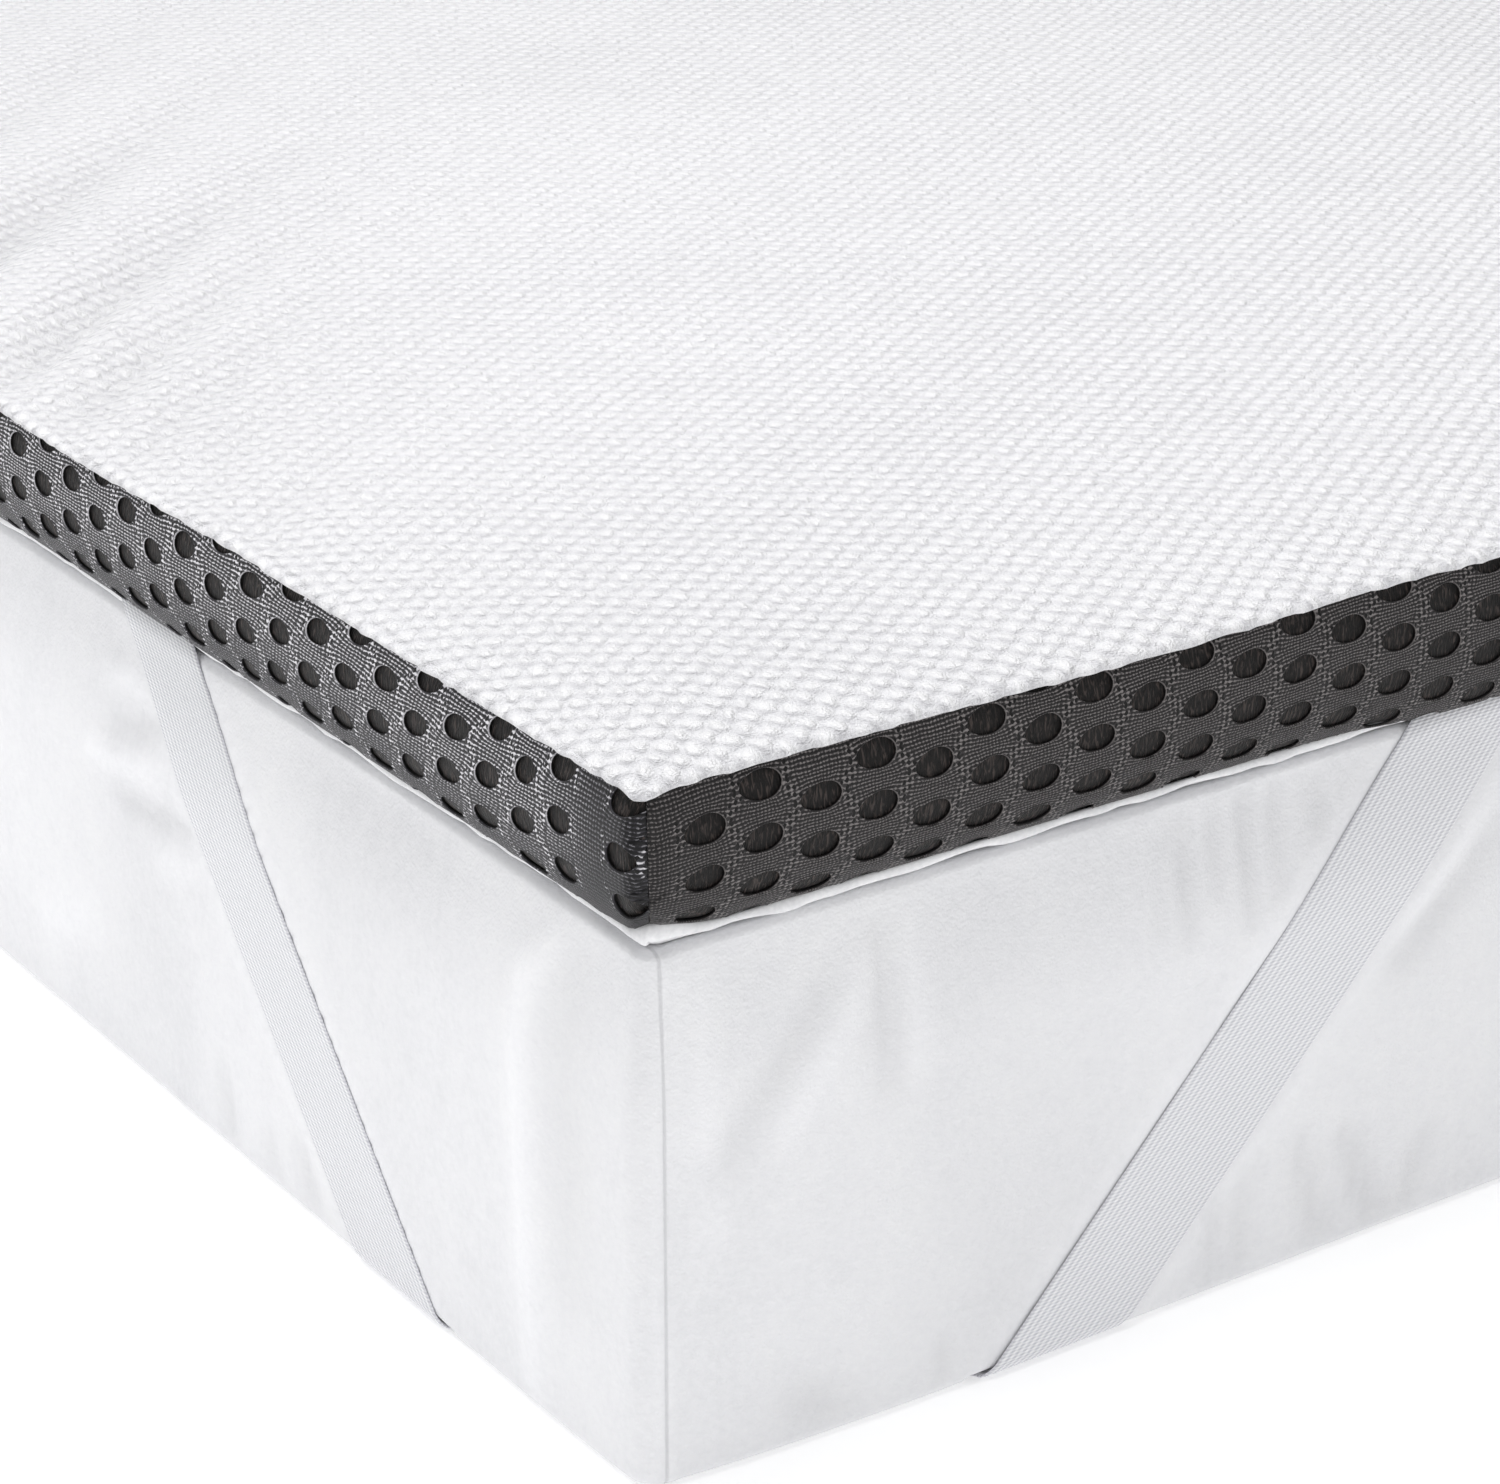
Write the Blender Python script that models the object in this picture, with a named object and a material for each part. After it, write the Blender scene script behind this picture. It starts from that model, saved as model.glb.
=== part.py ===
"""A mattress topper held on its mattress by elastic straps round the corners.

+Z is up. The origin is on the floor under the middle of the mattress. X runs along the short
front and back sides, and Y along the long left and right sides.
"""

import math
from collections import namedtuple

import bmesh
import bpy
from mathutils import Vector

# Driving dimensions, in metres.
TOPPER_WIDTH = 1.400  # across X, over the fullest line of the border
TOPPER_LENGTH = 2.000  # along Y, over the fullest line of the border
MATTRESS_HEIGHT = 0.200
BORDER_HEIGHT = 0.055  # between the border's two seams
SHEET_GAP = 0.0003  # left between pieces that touch on the real thing

# The mattress, in its cover.
MATTRESS_INSET = 0.002  # its sides stand this far behind the border's fullest line
MATTRESS_CORNER_RADIUS = 0.016
MATTRESS_CORNER_STEPS = 5
DrawIn = namedtuple("DrawIn", "depth reach")
FRONT_DRAW_IN = DrawIn(0.0090, 0.055)  # the cover pulls the sides in towards a corner
SIDE_DRAW_IN = DrawIn(0.0030, 0.030)
DRAW_IN_PLACES = (0.032, 0.068, 0.120, 0.220)  # where an outline has points, from a corner
MATTRESS_BOTTOM_ROUND = 0.005
MATTRESS_TOP_ROUND = 0.016

# The bottom panel, a cloth with a rolled edge.
PANEL_THICKNESS = 0.0023
LIP_RADIUS = 0.0013
LIP_INSET = 0.0119  # the roll's middle, behind the border's fullest line
LIP_STEPS = 6
LIP_TUCK = 0.0030  # it hides this much deeper on the long sides
LIP_DROP = 0.0019  # its middle, below the border's bottom seam
LIP_RUN = 0.0045  # from the roll's middle to where the cloth lies flat
BOTTOM_SEAM_Z = MATTRESS_HEIGHT + 0.0053  # the border's bottom seam

# The spacer mesh border. Its outer face in section, from the top seam to the bottom seam:
# inset is measured inwards from the fullest line, rise upwards from the bottom seam.
BORDER_THICKNESS = 0.004
SectionPoint = namedtuple("SectionPoint", "inset rise")
BORDER_SECTION = (
    SectionPoint(0.0044, BORDER_HEIGHT),
    SectionPoint(0.0026, 0.0506),
    SectionPoint(0.0009, 0.0435),
    SectionPoint(0.0000, 0.0345),
    SectionPoint(0.0003, 0.0255),
    SectionPoint(0.0019, 0.0165),
    SectionPoint(0.0050, 0.0083),
    SectionPoint(0.0086, 0.0030),
    SectionPoint(0.0118, 0.0000),
)
INNER_POINTS = (0, 2, 4, 6, 8)  # the section points that the mesh's inner face repeats
CORNER_RADIUS = 0.007  # of the border's upright corners, seen from above
CORNER_STEPS = 2  # from a corner seam to each straight side
FRONT_SEAM_ANGLE = 58  # the corner seams sit a little round towards the front and the back

# How the border's seams wander: long waves on each side, the pull of the corner seams, and
# that of the straps. A pair of reaches is for the front and back, then for the long sides.
Wave = namedtuple("Wave", "height length shift")
TOP_WAVES = (Wave(0.0007, 0.310, 0.06), Wave(0.0004, 0.190, 0.11))
BOTTOM_WAVES = (Wave(0.0002, 0.270, 0.02), Wave(0.0001, 0.170, 0.05))
BULGE_WAVE = Wave(0.0006, 0.230, 0.03)
WAVE_SHIFT_PER_SIDE = 0.047
WAVE_FADE = 0.060  # the waves die out this near a corner
CORNER_DIP = 0.0020  # the top seam drops here
CORNER_DIP_REACH = (0.014, 0.006)
CORNER_LIFT = 0.0045  # the outer face's bottom edge rises here
CORNER_LIFT_REACH = (0.017, 0.006)
SEAM_PINCH = 0.0011  # the corner seam draws the mesh in
SEAM_PINCH_REACH = 0.0035
STRAP_PULL_OUT = 0.0035  # on the front and back a strap draws the mesh's edge out and down
STRAP_PULL_DOWN = 0.0020
STRAP_PULL_REACH = 0.060

# The pad: its rim laps over the border's top edge, and its top is crowned.
RIM_SHOULDER = SectionPoint(0.0065, BORDER_HEIGHT + 0.0031)
RIM_TURN = SectionPoint(0.0047, BORDER_HEIGHT + 0.0014)
PAD_FOOT = (SectionPoint(0.0175, 0.0008), SectionPoint(0.0205, -0.0024))
CROWN = 0.0060
CROWN_REACH = 0.035
GridBand = namedtuple("GridBand", "end step")  # ends are measured from the left or front rim
COLUMNS = (GridBand(0.440, 0.028), GridBand(0.960, 0.065), GridBand(1.3865, 0.036))
ROWS = (
    GridBand(0.260, 0.050),
    GridBand(0.900, 0.021),
    GridBand(1.560, 0.074),
    GridBand(1.9865, 0.036),
)

# Soft puckers that run inwards from the left side, aslant towards the back.
Pucker = namedtuple("Pucker", "along depth half_width reach")
PUCKERS = (
    Pucker(0.262, 0.0007, 0.016, 0.045),
    Pucker(0.318, 0.0010, 0.016, 0.050),
    Pucker(0.366, 0.0016, 0.016, 0.055),
    Pucker(0.424, 0.0025, 0.018, 0.060),
    Pucker(0.490, 0.0034, 0.020, 0.065),
    Pucker(0.602, 0.0036, 0.025, 0.070),
    Pucker(0.718, 0.0028, 0.028, 0.075),
    Pucker(0.826, 0.0018, 0.028, 0.080),
)
PUCKER_SLANT = 0.9

# The elastic straps. Each lies flat on two sides of a corner and under it.
STRAP_WIDTH = 0.045
STRAP_THICKNESS = 0.0016
STRAP_CORNER_REACH = 0.172  # from the corner to the strap's middle, along the bottom edges
FRONT_LEAN = 0.946  # the strap's run along the front for each metre that it climbs
SIDE_LEAN = 0.863  # and along the long side
STRAP_BEND = 0.0050  # radius of its middle layer under the mattress's bottom edge
STRAP_BEND_STEPS = 4
STRAP_FACE_STEPS = 4
STRAP_ENDS = (  # its sewn ends under the border, on the front or back and on the long side
    SectionPoint(0.0050, 0.0000),
    SectionPoint(0.0057, 0.0054),
)
GROOVE_EXTRA = 0.00025  # the pressed-in groove is this much larger than the strap all round
GROOVE_CLIMB = 0.012  # the groove's cutter ends this far up the mattress's sides

HALF_WIDTH = TOPPER_WIDTH / 2
HALF_LENGTH = TOPPER_LENGTH / 2

WHITE_KNIT = ((0.91, 0.91, 0.93), 0.95)
WHITE_LINING = ((0.88, 0.88, 0.90), 0.90)
CHARCOAL_MESH = ((0.055, 0.052, 0.053), 0.70)
WHITE_ELASTIC = ((0.86, 0.86, 0.89), 0.75)
WHITE_COVER = ((0.84, 0.84, 0.87), 0.88)


def clear_scene():
    for item in list(bpy.data.objects):
        bpy.data.objects.remove(item, do_unlink=True)


def new_collection(name):
    group = bpy.data.collections.new(name)
    bpy.context.scene.collection.children.link(group)
    return group


def new_material(name, finish):
    colour, roughness = finish
    material = bpy.data.materials.new(name)
    material.use_nodes = True
    shader = material.node_tree.nodes["Principled BSDF"]
    shader.inputs["Base Color"].default_value = (*colour, 1.0)
    shader.inputs["Roughness"].default_value = roughness
    shader.inputs["Metallic"].default_value = 0.0
    material.diffuse_color = (*colour, 1.0)
    return material


def finish_object(name, mesh_data, group, finish=None):
    """Turns a bmesh into a smooth-shaded object in its collection."""
    bmesh.ops.remove_doubles(mesh_data, verts=mesh_data.verts, dist=1e-6)
    bmesh.ops.recalc_face_normals(mesh_data, faces=mesh_data.faces)
    mesh = bpy.data.meshes.new(name)
    mesh_data.to_mesh(mesh)
    mesh_data.free()
    mesh.shade_smooth()
    mesh.set_sharp_from_angle(angle=math.radians(40))
    item = bpy.data.objects.new(name, mesh)
    group.objects.link(item)
    if finish is not None:
        mesh.materials.append(new_material(name, finish))
    return item


def skin_rings(mesh_data, rings, close_round=True, cap_first=True, cap_last=True):
    """Joins rings of points, all of one length, with quads, and closes the two ends."""
    layers = [[mesh_data.verts.new(point) for point in ring] for ring in rings]
    count = len(layers[0])
    spans = count if close_round else count - 1
    for lower, upper in zip(layers, layers[1:]):
        for i in range(spans):
            j = (i + 1) % count
            mesh_data.faces.new((lower[i], lower[j], upper[j], upper[i]))
    if cap_first:
        mesh_data.faces.new(layers[0])
    if cap_last:
        mesh_data.faces.new(layers[-1])


def quarter_round(radius, steps):
    """(inset, height) pairs up a rounded bottom edge, from its flat to its upright face."""
    pairs = []
    for i in range(steps + 1):
        angle = math.radians(90) * i / steps
        pairs.append((radius * (1 - math.sin(angle)), radius * (1 - math.cos(angle))))
    return pairs


# ---- the mattress ----


def draw_in_depth(along, length, draw_in):
    near = min(along, length - along)
    return draw_in.depth * math.exp(-near / draw_in.reach)


def mattress_outline(inset, height):
    """A rectangle with round corners and slightly drawn-in sides, anticlockwise from above."""
    size_x = TOPPER_WIDTH - 2 * (MATTRESS_INSET + inset)
    size_y = TOPPER_LENGTH - 2 * (MATTRESS_INSET + inset)
    radius = MATTRESS_CORNER_RADIUS
    points = []
    for side in range(4):
        is_front = side % 2 == 0
        length, draw_in = (size_x, FRONT_DRAW_IN) if is_front else (size_y, SIDE_DRAW_IN)
        other = SIDE_DRAW_IN if is_front else FRONT_DRAW_IN
        turn = math.radians(90) * side
        along = Vector((round(math.cos(turn)), round(math.sin(turn)), 0))
        inward = Vector((-along.y, along.x, 0))
        start = -along * length / 2 - inward * (size_y if is_front else size_x) / 2
        local = []
        for i in range(MATTRESS_CORNER_STEPS + 1):
            angle = math.radians(90) * i / MATTRESS_CORNER_STEPS
            place = radius * (1 - math.cos(angle))
            depth = radius * (1 - math.sin(angle))
            share = i / MATTRESS_CORNER_STEPS
            place += (1 - share) * draw_in_depth(depth, length, other)
            local.append((place, depth + share * draw_in_depth(place, length, draw_in)))
        marks = [*DRAW_IN_PLACES, *(length - place for place in reversed(DRAW_IN_PLACES))]
        local += [(place, draw_in_depth(place, length, draw_in)) for place in marks]
        local.append((length - radius, draw_in_depth(radius, length, draw_in)))
        for place, depth in local:
            points.append(start + along * place + inward * depth + Vector((0, 0, height)))
    return points


def build_mattress(group, cutters):
    mesh_data = bmesh.new()
    bottom = quarter_round(MATTRESS_BOTTOM_ROUND, 3)
    top = [(inset, MATTRESS_HEIGHT - drop) for inset, drop in quarter_round(MATTRESS_TOP_ROUND, 5)]
    sections = bottom + top[::-1]
    skin_rings(mesh_data, [mattress_outline(inset, height) for inset, height in sections])
    mattress = finish_object("mattress", mesh_data, group, WHITE_COVER)
    for cutter in cutters:
        groove = mattress.modifiers.new(cutter.name, "BOOLEAN")
        groove.operation = "DIFFERENCE"
        groove.solver = "EXACT"
        groove.object = cutter


# ---- the line round the topper ----

# A place on the border's run. A ring that lies inset metres in passes through
# (x + inset * in_x, y + inset * in_y). along is the distance from the side's first corner,
# and near the distance from the nearer corner seam.
Station = namedtuple("Station", "x y in_x in_y side along near")


def graded_lines(bands):
    """Distances from the rim at which the pad's grid has a line."""
    lines = []
    start = CORNER_RADIUS + RIM_SHOULDER.inset
    for band in bands:
        count = max(1, round((band.end - start) / band.step))
        lines += [start + (band.end - start) * i / count for i in range(1, count + 1)]
        start = band.end
    return lines[:-1]


def corner_arc(side):
    """(along, depth) pairs from a corner seam to a straight side, from the sharp corner."""
    seam = FRONT_SEAM_ANGLE if side % 2 == 0 else 90 - FRONT_SEAM_ANGLE
    arc = []
    for i in range(CORNER_STEPS + 1):
        angle = math.radians(seam + (90 - seam) * i / CORNER_STEPS)
        arc.append((CORNER_RADIUS * (1 - math.cos(angle)), CORNER_RADIUS * (1 - math.sin(angle))))
    return arc


def side_stations(side):
    """The stations of one side, from corner seam to corner seam, anticlockwise from above."""
    lines = graded_lines(COLUMNS if side % 2 == 0 else ROWS)
    length = TOPPER_WIDTH if side % 2 == 0 else TOPPER_LENGTH
    if side in (2, 3):
        lines = [length - line for line in reversed(lines)]
    local = [(along, depth, 1) for along, depth in corner_arc(side)]
    local += [(line, 0.0, 0) for line in lines]
    for along, depth, slide in local[CORNER_STEPS::-1]:
        local.append((length - along, depth, -slide))
    stations = []
    turn = math.radians(90) * side
    along_x, along_y = round(math.cos(turn)), round(math.sin(turn))
    in_x, in_y = -along_y, along_x
    start_x = -HALF_WIDTH if side in (0, 3) else HALF_WIDTH
    start_y = -HALF_LENGTH if side in (0, 1) else HALF_LENGTH
    for along, depth, slide in local:
        stations.append(
            Station(
                start_x + along * along_x + depth * in_x,
                start_y + along * along_y + depth * in_y,
                in_x + slide * along_x,
                in_y + slide * along_y,
                side,
                along,
                min(along, length - along) - local[0][0],
            )
        )
    return stations


def wave_height(waves, station):
    shift = WAVE_SHIFT_PER_SIDE * station.side
    fade = min(1.0, station.near / WAVE_FADE) ** 2
    total = 0.0
    for wave in waves:
        turns = (station.along + wave.shift + shift) / wave.length
        total += wave.height * math.sin(2 * math.pi * turns)
    return fade * total


def bell(distance, reach):
    return math.exp(-((distance / reach) ** 2))


def strap_pull(station):
    """How much of a strap's whole pull reaches a station of the front or the back."""
    if station.side % 2:
        return 0.0
    strap = STRAP_CORNER_REACH + BOTTOM_SEAM_Z * FRONT_LEAN
    return math.exp(-(((station.near - strap) / STRAP_PULL_REACH) ** 4))


def border_point(station, inset, rise, outer=False):
    """A point of the topper's side at a station, moved as the seams wander there."""
    near = station.near
    is_long = station.side % 2
    share = min(1.0, max(0.0, rise / BORDER_HEIGHT))
    dip = CORNER_DIP * bell(near, CORNER_DIP_REACH[is_long])
    lift = share * (wave_height(TOP_WAVES, station) - dip)
    lift += (1 - share) * wave_height(BOTTOM_WAVES, station)
    swell = math.sin(math.pi * share) * wave_height((BULGE_WAVE,), station)
    pinch = SEAM_PINCH * bell(near, SEAM_PINCH_REACH)
    depth = inset + abs(swell) + pinch
    if outer:
        low = (1 - share) ** 4
        lift += low * CORNER_LIFT * bell(near, CORNER_LIFT_REACH[is_long])
        lift -= low * STRAP_PULL_DOWN * strap_pull(station)
        depth -= low * STRAP_PULL_OUT * strap_pull(station)
    return Vector(
        (
            station.x + depth * station.in_x,
            station.y + depth * station.in_y,
            BOTTOM_SEAM_Z + rise + lift,
        )
    )


def inward_normals():
    """The direction into the topper at each point of the border's section."""
    normals = []
    last = len(BORDER_SECTION) - 1
    for i in range(last + 1):
        before = BORDER_SECTION[max(0, i - 1)]
        after = BORDER_SECTION[min(last, i + 1)]
        run = Vector((after.inset - before.inset, after.rise - before.rise)).normalized()
        normals.append(Vector((-run.y, run.x)))
    return normals


def layer_points(depth):
    """The section's chosen points, moved depth metres into the topper."""
    normals = inward_normals()
    points = []
    for i in INNER_POINTS:
        moved = Vector(BORDER_SECTION[i]) + normals[i] * depth
        points.append(SectionPoint(moved.x, moved.y))
    return points


# ---- the border strips ----


def border_ring(station):
    outer = [border_point(station, p.inset, p.rise, outer=True) for p in BORDER_SECTION]
    inner = [border_point(station, p.inset, p.rise) for p in layer_points(BORDER_THICKNESS)]
    return outer + inner[::-1]


def build_border(name, side, group):
    stations = side_stations(side)
    rings = [border_ring(station) for station in stations]
    along = (rings[1][3] - rings[0][3]).normalized()
    trims = ((0, 1), (-1, -1))
    for index, direction in trims:
        station = stations[index]
        across = Vector((-station.in_y, station.in_x, 0)).normalized()
        if across.dot(along) * direction < 0:
            across = -across
        rings[index] = [point + across * SHEET_GAP / 2 for point in rings[index]]
    mesh_data = bmesh.new()
    skin_rings(mesh_data, rings)
    finish_object(name, mesh_data, group, CHARCOAL_MESH)


# ---- the pad ----


def pucker_depth(from_left, from_front):
    """How far the puckers press the top down at a place."""
    total = 0.0
    for pucker in PUCKERS:
        offset = from_front - PUCKER_SLANT * from_left - pucker.along
        reach = from_left / pucker.reach
        total += pucker.depth * reach * math.exp(1 - reach) * bell(offset, pucker.half_width)
    return total


def top_height(x, y):
    """The pad's crowned top, above its rim shoulder."""
    rim_x = HALF_WIDTH - RIM_SHOULDER.inset
    rim_y = HALF_LENGTH - RIM_SHOULDER.inset
    edge = max(0.0, min(rim_x - abs(x), rim_y - abs(y)))
    rise = CROWN * (1 - math.exp(-edge / CROWN_REACH))
    return rise - pucker_depth(max(0.0, x + rim_x), y + rim_y)


def pad_perimeter():
    """Every station round the topper once, from the front left corner seam."""
    stations = []
    for side in range(4):
        stations += side_stations(side)[:-1]
    return stations


def grid_lines(side, lines, length):
    """All the grid's lines along one side, from corner to corner."""
    near = [along + RIM_SHOULDER.inset for along, _ in corner_arc(side)]
    return near + lines + [length - line for line in reversed(near)]


def build_pad(group):
    columns = grid_lines(0, graded_lines(COLUMNS), TOPPER_WIDTH)
    rows = grid_lines(1, graded_lines(ROWS), TOPPER_LENGTH)
    last_column, last_row = len(columns) - 1, len(rows) - 1
    shoulder = [border_point(s, RIM_SHOULDER.inset, RIM_SHOULDER.rise) for s in pad_perimeter()]
    rim = [(i, 0) for i in range(last_column)]
    rim += [(last_column, j) for j in range(last_row)]
    rim += [(i, last_row) for i in range(last_column, 0, -1)]
    rim += [(0, j) for j in range(last_row, 0, -1)]
    places = dict(zip(rim, shoulder))
    mesh_data = bmesh.new()
    bmesh.ops.create_grid(mesh_data, x_segments=last_column, y_segments=last_row, size=1)
    for vertex in mesh_data.verts:
        i = round((vertex.co.x + 1) / 2 * last_column)
        j = round((vertex.co.y + 1) / 2 * last_row)
        if (i, j) in places:
            vertex.co = places[i, j]
            continue
        x, y = columns[i] - HALF_WIDTH, rows[j] - HALF_LENGTH
        vertex.co = (x, y, BOTTOM_SEAM_Z + RIM_SHOULDER.rise + top_height(x, y))
    lap = Vector(BORDER_SECTION[0]) + Vector((0.00011, SHEET_GAP))
    tuck = Vector(layer_points(BORDER_THICKNESS + SHEET_GAP)[0]) + Vector((0.0001, SHEET_GAP))
    side = [RIM_SHOULDER, RIM_TURN, SectionPoint(*lap), SectionPoint(*tuck)]
    side += layer_points(BORDER_THICKNESS + SHEET_GAP)[1:]
    side += PAD_FOOT
    rings = [[border_point(s, p.inset, p.rise) for s in pad_perimeter()] for p in side]
    for point in rings[-1]:
        point.z = MATTRESS_HEIGHT + SHEET_GAP + PANEL_THICKNESS + SHEET_GAP
    skin_rings(mesh_data, rings, cap_first=False)
    finish_object("topper_pad", mesh_data, group, WHITE_KNIT)


# ---- the bottom panel ----


def build_bottom_panel(group):
    floor = MATTRESS_HEIGHT + SHEET_GAP
    middle = BOTTOM_SEAM_Z - LIP_DROP
    sections = [(LIP_INSET + LIP_RUN, floor)]
    for i in range(LIP_STEPS + 1):
        angle = math.radians(180) * i / LIP_STEPS
        sections.append(
            (LIP_INSET - LIP_RADIUS * math.sin(angle), middle - LIP_RADIUS * math.cos(angle))
        )
    sections.append((LIP_INSET + LIP_RUN, floor + PANEL_THICKNESS))
    stations = []
    for side in range(4):
        full = side_stations(side)
        stations += full[: CORNER_STEPS + 1] + full[-CORNER_STEPS - 1 : -1]
    rings = []
    for inset, height in sections:
        ring = []
        for s in stations:
            x = s.x + (inset + LIP_TUCK) * s.in_x
            ring.append(Vector((x, s.y + inset * s.in_y, height)))
        rings.append(ring)
    mesh_data = bmesh.new()
    skin_rings(mesh_data, rings)
    finish_object("bottom_panel", mesh_data, group, WHITE_LINING)


# ---- the straps ----


def strap_leg(lean, end, grow):
    """One leg of a strap, from the middle of its bend's underside up to its sewn end.

    Each row is (inset, height, run, nx, nz): the strap's middle layer in section, its distance
    along the bottom edge, and the way its outer face looks.
    """
    half = STRAP_THICKNESS / 2
    face = MATTRESS_INSET - SHEET_GAP - half
    bend_x, bend_z = face + STRAP_BEND, half + STRAP_BEND
    rows = []
    for i in range(STRAP_BEND_STEPS + 1):
        angle = math.radians(90) * i / STRAP_BEND_STEPS
        nx, nz = -math.sin(angle), -math.cos(angle)
        height = bend_z + STRAP_BEND * nz
        climb = height * i / STRAP_BEND_STEPS
        rows.append((bend_x + STRAP_BEND * nx, height, climb * lean, nx, nz))
    if grow:
        rows.append((face, GROOVE_CLIMB, GROOVE_CLIMB * lean, -1.0, 0.0))
        return rows
    round_x, round_z = MATTRESS_INSET + MATTRESS_TOP_ROUND, MATTRESS_HEIGHT - MATTRESS_TOP_ROUND
    radius = MATTRESS_TOP_ROUND + SHEET_GAP + half
    for i in range(1, STRAP_FACE_STEPS + 1):
        height = bend_z + (round_z - bend_z) * i / STRAP_FACE_STEPS
        rows.append((face, height, height * lean, -1.0, 0.0))
    end_x, end_z = end.inset - round_x, BOTTOM_SEAM_Z + end.rise - round_z
    leave = math.atan2(end_z, -end_x) - math.acos(radius / math.hypot(end_x, end_z))
    for share in (0.5, 1.0):
        nx, nz = -math.cos(leave * share), math.sin(leave * share)
        height = round_z + radius * nz
        rows.append((round_x + radius * nx, height, height * lean, nx, nz))
    height = BOTTOM_SEAM_Z + end.rise
    rows.append((end.inset, height, height * lean, rows[-1][3], rows[-1][4]))
    return rows


def strap_rings(sign_x, sign_y, extra):
    """Rectangular sections along a strap, from its end on the long side to that on the front."""
    half_run = STRAP_WIDTH / math.sin(math.atan(1 / FRONT_LEAN)) / 2 + extra
    half = STRAP_THICKNESS / 2 + extra
    corner_x, corner_y = sign_x * HALF_WIDTH, sign_y * HALF_LENGTH
    rings = []
    front_end, side_end = STRAP_ENDS
    for inset, height, run, nx, nz in reversed(strap_leg(SIDE_LEAN, side_end, extra > 0)):
        ring = []
        for across, out in ((-1, 1), (1, 1), (1, -1), (-1, -1)):
            along = STRAP_CORNER_REACH + run + across * half_run
            x = corner_x - sign_x * (inset + out * half * nx)
            ring.append(Vector((x, corner_y - sign_y * along, height + out * half * nz)))
        rings.append(ring)
    for inset, height, run, nx, nz in strap_leg(FRONT_LEAN, front_end, extra > 0):
        ring = []
        for across, out in ((-1, 1), (1, 1), (1, -1), (-1, -1)):
            along = STRAP_CORNER_REACH + run + across * half_run
            y = corner_y - sign_y * (inset + out * half * nx)
            ring.append(Vector((corner_x - sign_x * along, y, height + out * half * nz)))
        rings.append(ring)
    return rings


def build_strap(name, sign_x, sign_y, group, finish, extra=0.0):
    mesh_data = bmesh.new()
    skin_rings(mesh_data, strap_rings(sign_x, sign_y, extra))
    return finish_object(name, mesh_data, group, finish)


CORNERS = (
    ("front_left", -1, -1),
    ("front_right", 1, -1),
    ("back_right", 1, 1),
    ("back_left", -1, 1),
)


def main():
    clear_scene()
    parts = new_collection("mattress_topper")
    guides = new_collection("cutters")
    cutters = []
    for name, sign_x, sign_y in CORNERS:
        cutter = build_strap("groove_" + name, sign_x, sign_y, guides, None, GROOVE_EXTRA)
        cutter.hide_render = True
        cutter.display_type = "WIRE"
        cutters.append(cutter)
        build_strap("strap_" + name, sign_x, sign_y, parts, WHITE_ELASTIC)
    build_mattress(parts, cutters)
    build_bottom_panel(parts)
    build_pad(parts)
    for side, name in enumerate(("front", "right", "back", "left")):
        build_border("border_" + name, side, parts)


main()
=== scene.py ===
import math

import bmesh
import bpy
import numpy as np
from mathutils import Matrix, Vector
from mathutils.geometry import delaunay_2d_cdt


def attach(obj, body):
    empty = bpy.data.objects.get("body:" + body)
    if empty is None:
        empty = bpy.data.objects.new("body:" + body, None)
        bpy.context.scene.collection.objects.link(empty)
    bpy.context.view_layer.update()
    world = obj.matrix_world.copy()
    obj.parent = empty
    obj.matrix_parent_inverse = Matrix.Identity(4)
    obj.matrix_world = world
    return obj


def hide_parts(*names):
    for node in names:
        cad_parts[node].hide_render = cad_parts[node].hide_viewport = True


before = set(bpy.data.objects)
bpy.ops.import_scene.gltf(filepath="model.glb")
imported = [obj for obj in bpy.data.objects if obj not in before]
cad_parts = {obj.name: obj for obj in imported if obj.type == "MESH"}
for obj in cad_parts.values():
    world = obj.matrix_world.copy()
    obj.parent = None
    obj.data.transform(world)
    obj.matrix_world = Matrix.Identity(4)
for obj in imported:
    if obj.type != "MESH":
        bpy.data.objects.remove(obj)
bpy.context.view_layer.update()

# ---- the room ----
# A pale studio floor under soft light from above, over the corner, from the left and from the
# front. The camera looks down at the front left corner from close by, through a long lens.

FOCAL_LENGTH_PIXELS = 4048
IMAGE_WIDTH_PIXELS = 1500
CAMERA_PLACE = (-1.3078, -1.9784, 0.7666)
CAMERA_TURN = math.radians(33.69)  # from +Y towards +X
CAMERA_TILT = math.radians(22.88)  # downwards
CAMERA_ROLL = math.radians(-0.75)
FLOOR_SIZE = 30.0
FLOOR_TONES = ((0.3, (0.93, 0.93, 0.93)), (0.7, (0.95, 0.95, 0.95)))
FLOOR_GLOW = 0.30
AIR_COLOUR = (0.985, 0.99, 1.0, 1.0)
AIR_LIGHT = 0.45
SOFT_BOXES = (  # name, place, aimed at, size in metres, watts
    ("box_above", (-0.9, 1.1, 3.4), (-0.3, -0.4, 0.2), 2.2, 60.0),
    ("box_corner", (-0.5, -0.8, 2.2), (-0.5, -0.7, 0.2), 1.2, 22.0),
    ("box_left", (-3.2, 1.6, 2.4), (-0.6, -0.6, 0.2), 1.8, 18.0),
    ("box_front", (-1.5, -4.0, 0.9), (-0.4, -1.0, 0.15), 1.8, 14.0),
)

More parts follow.
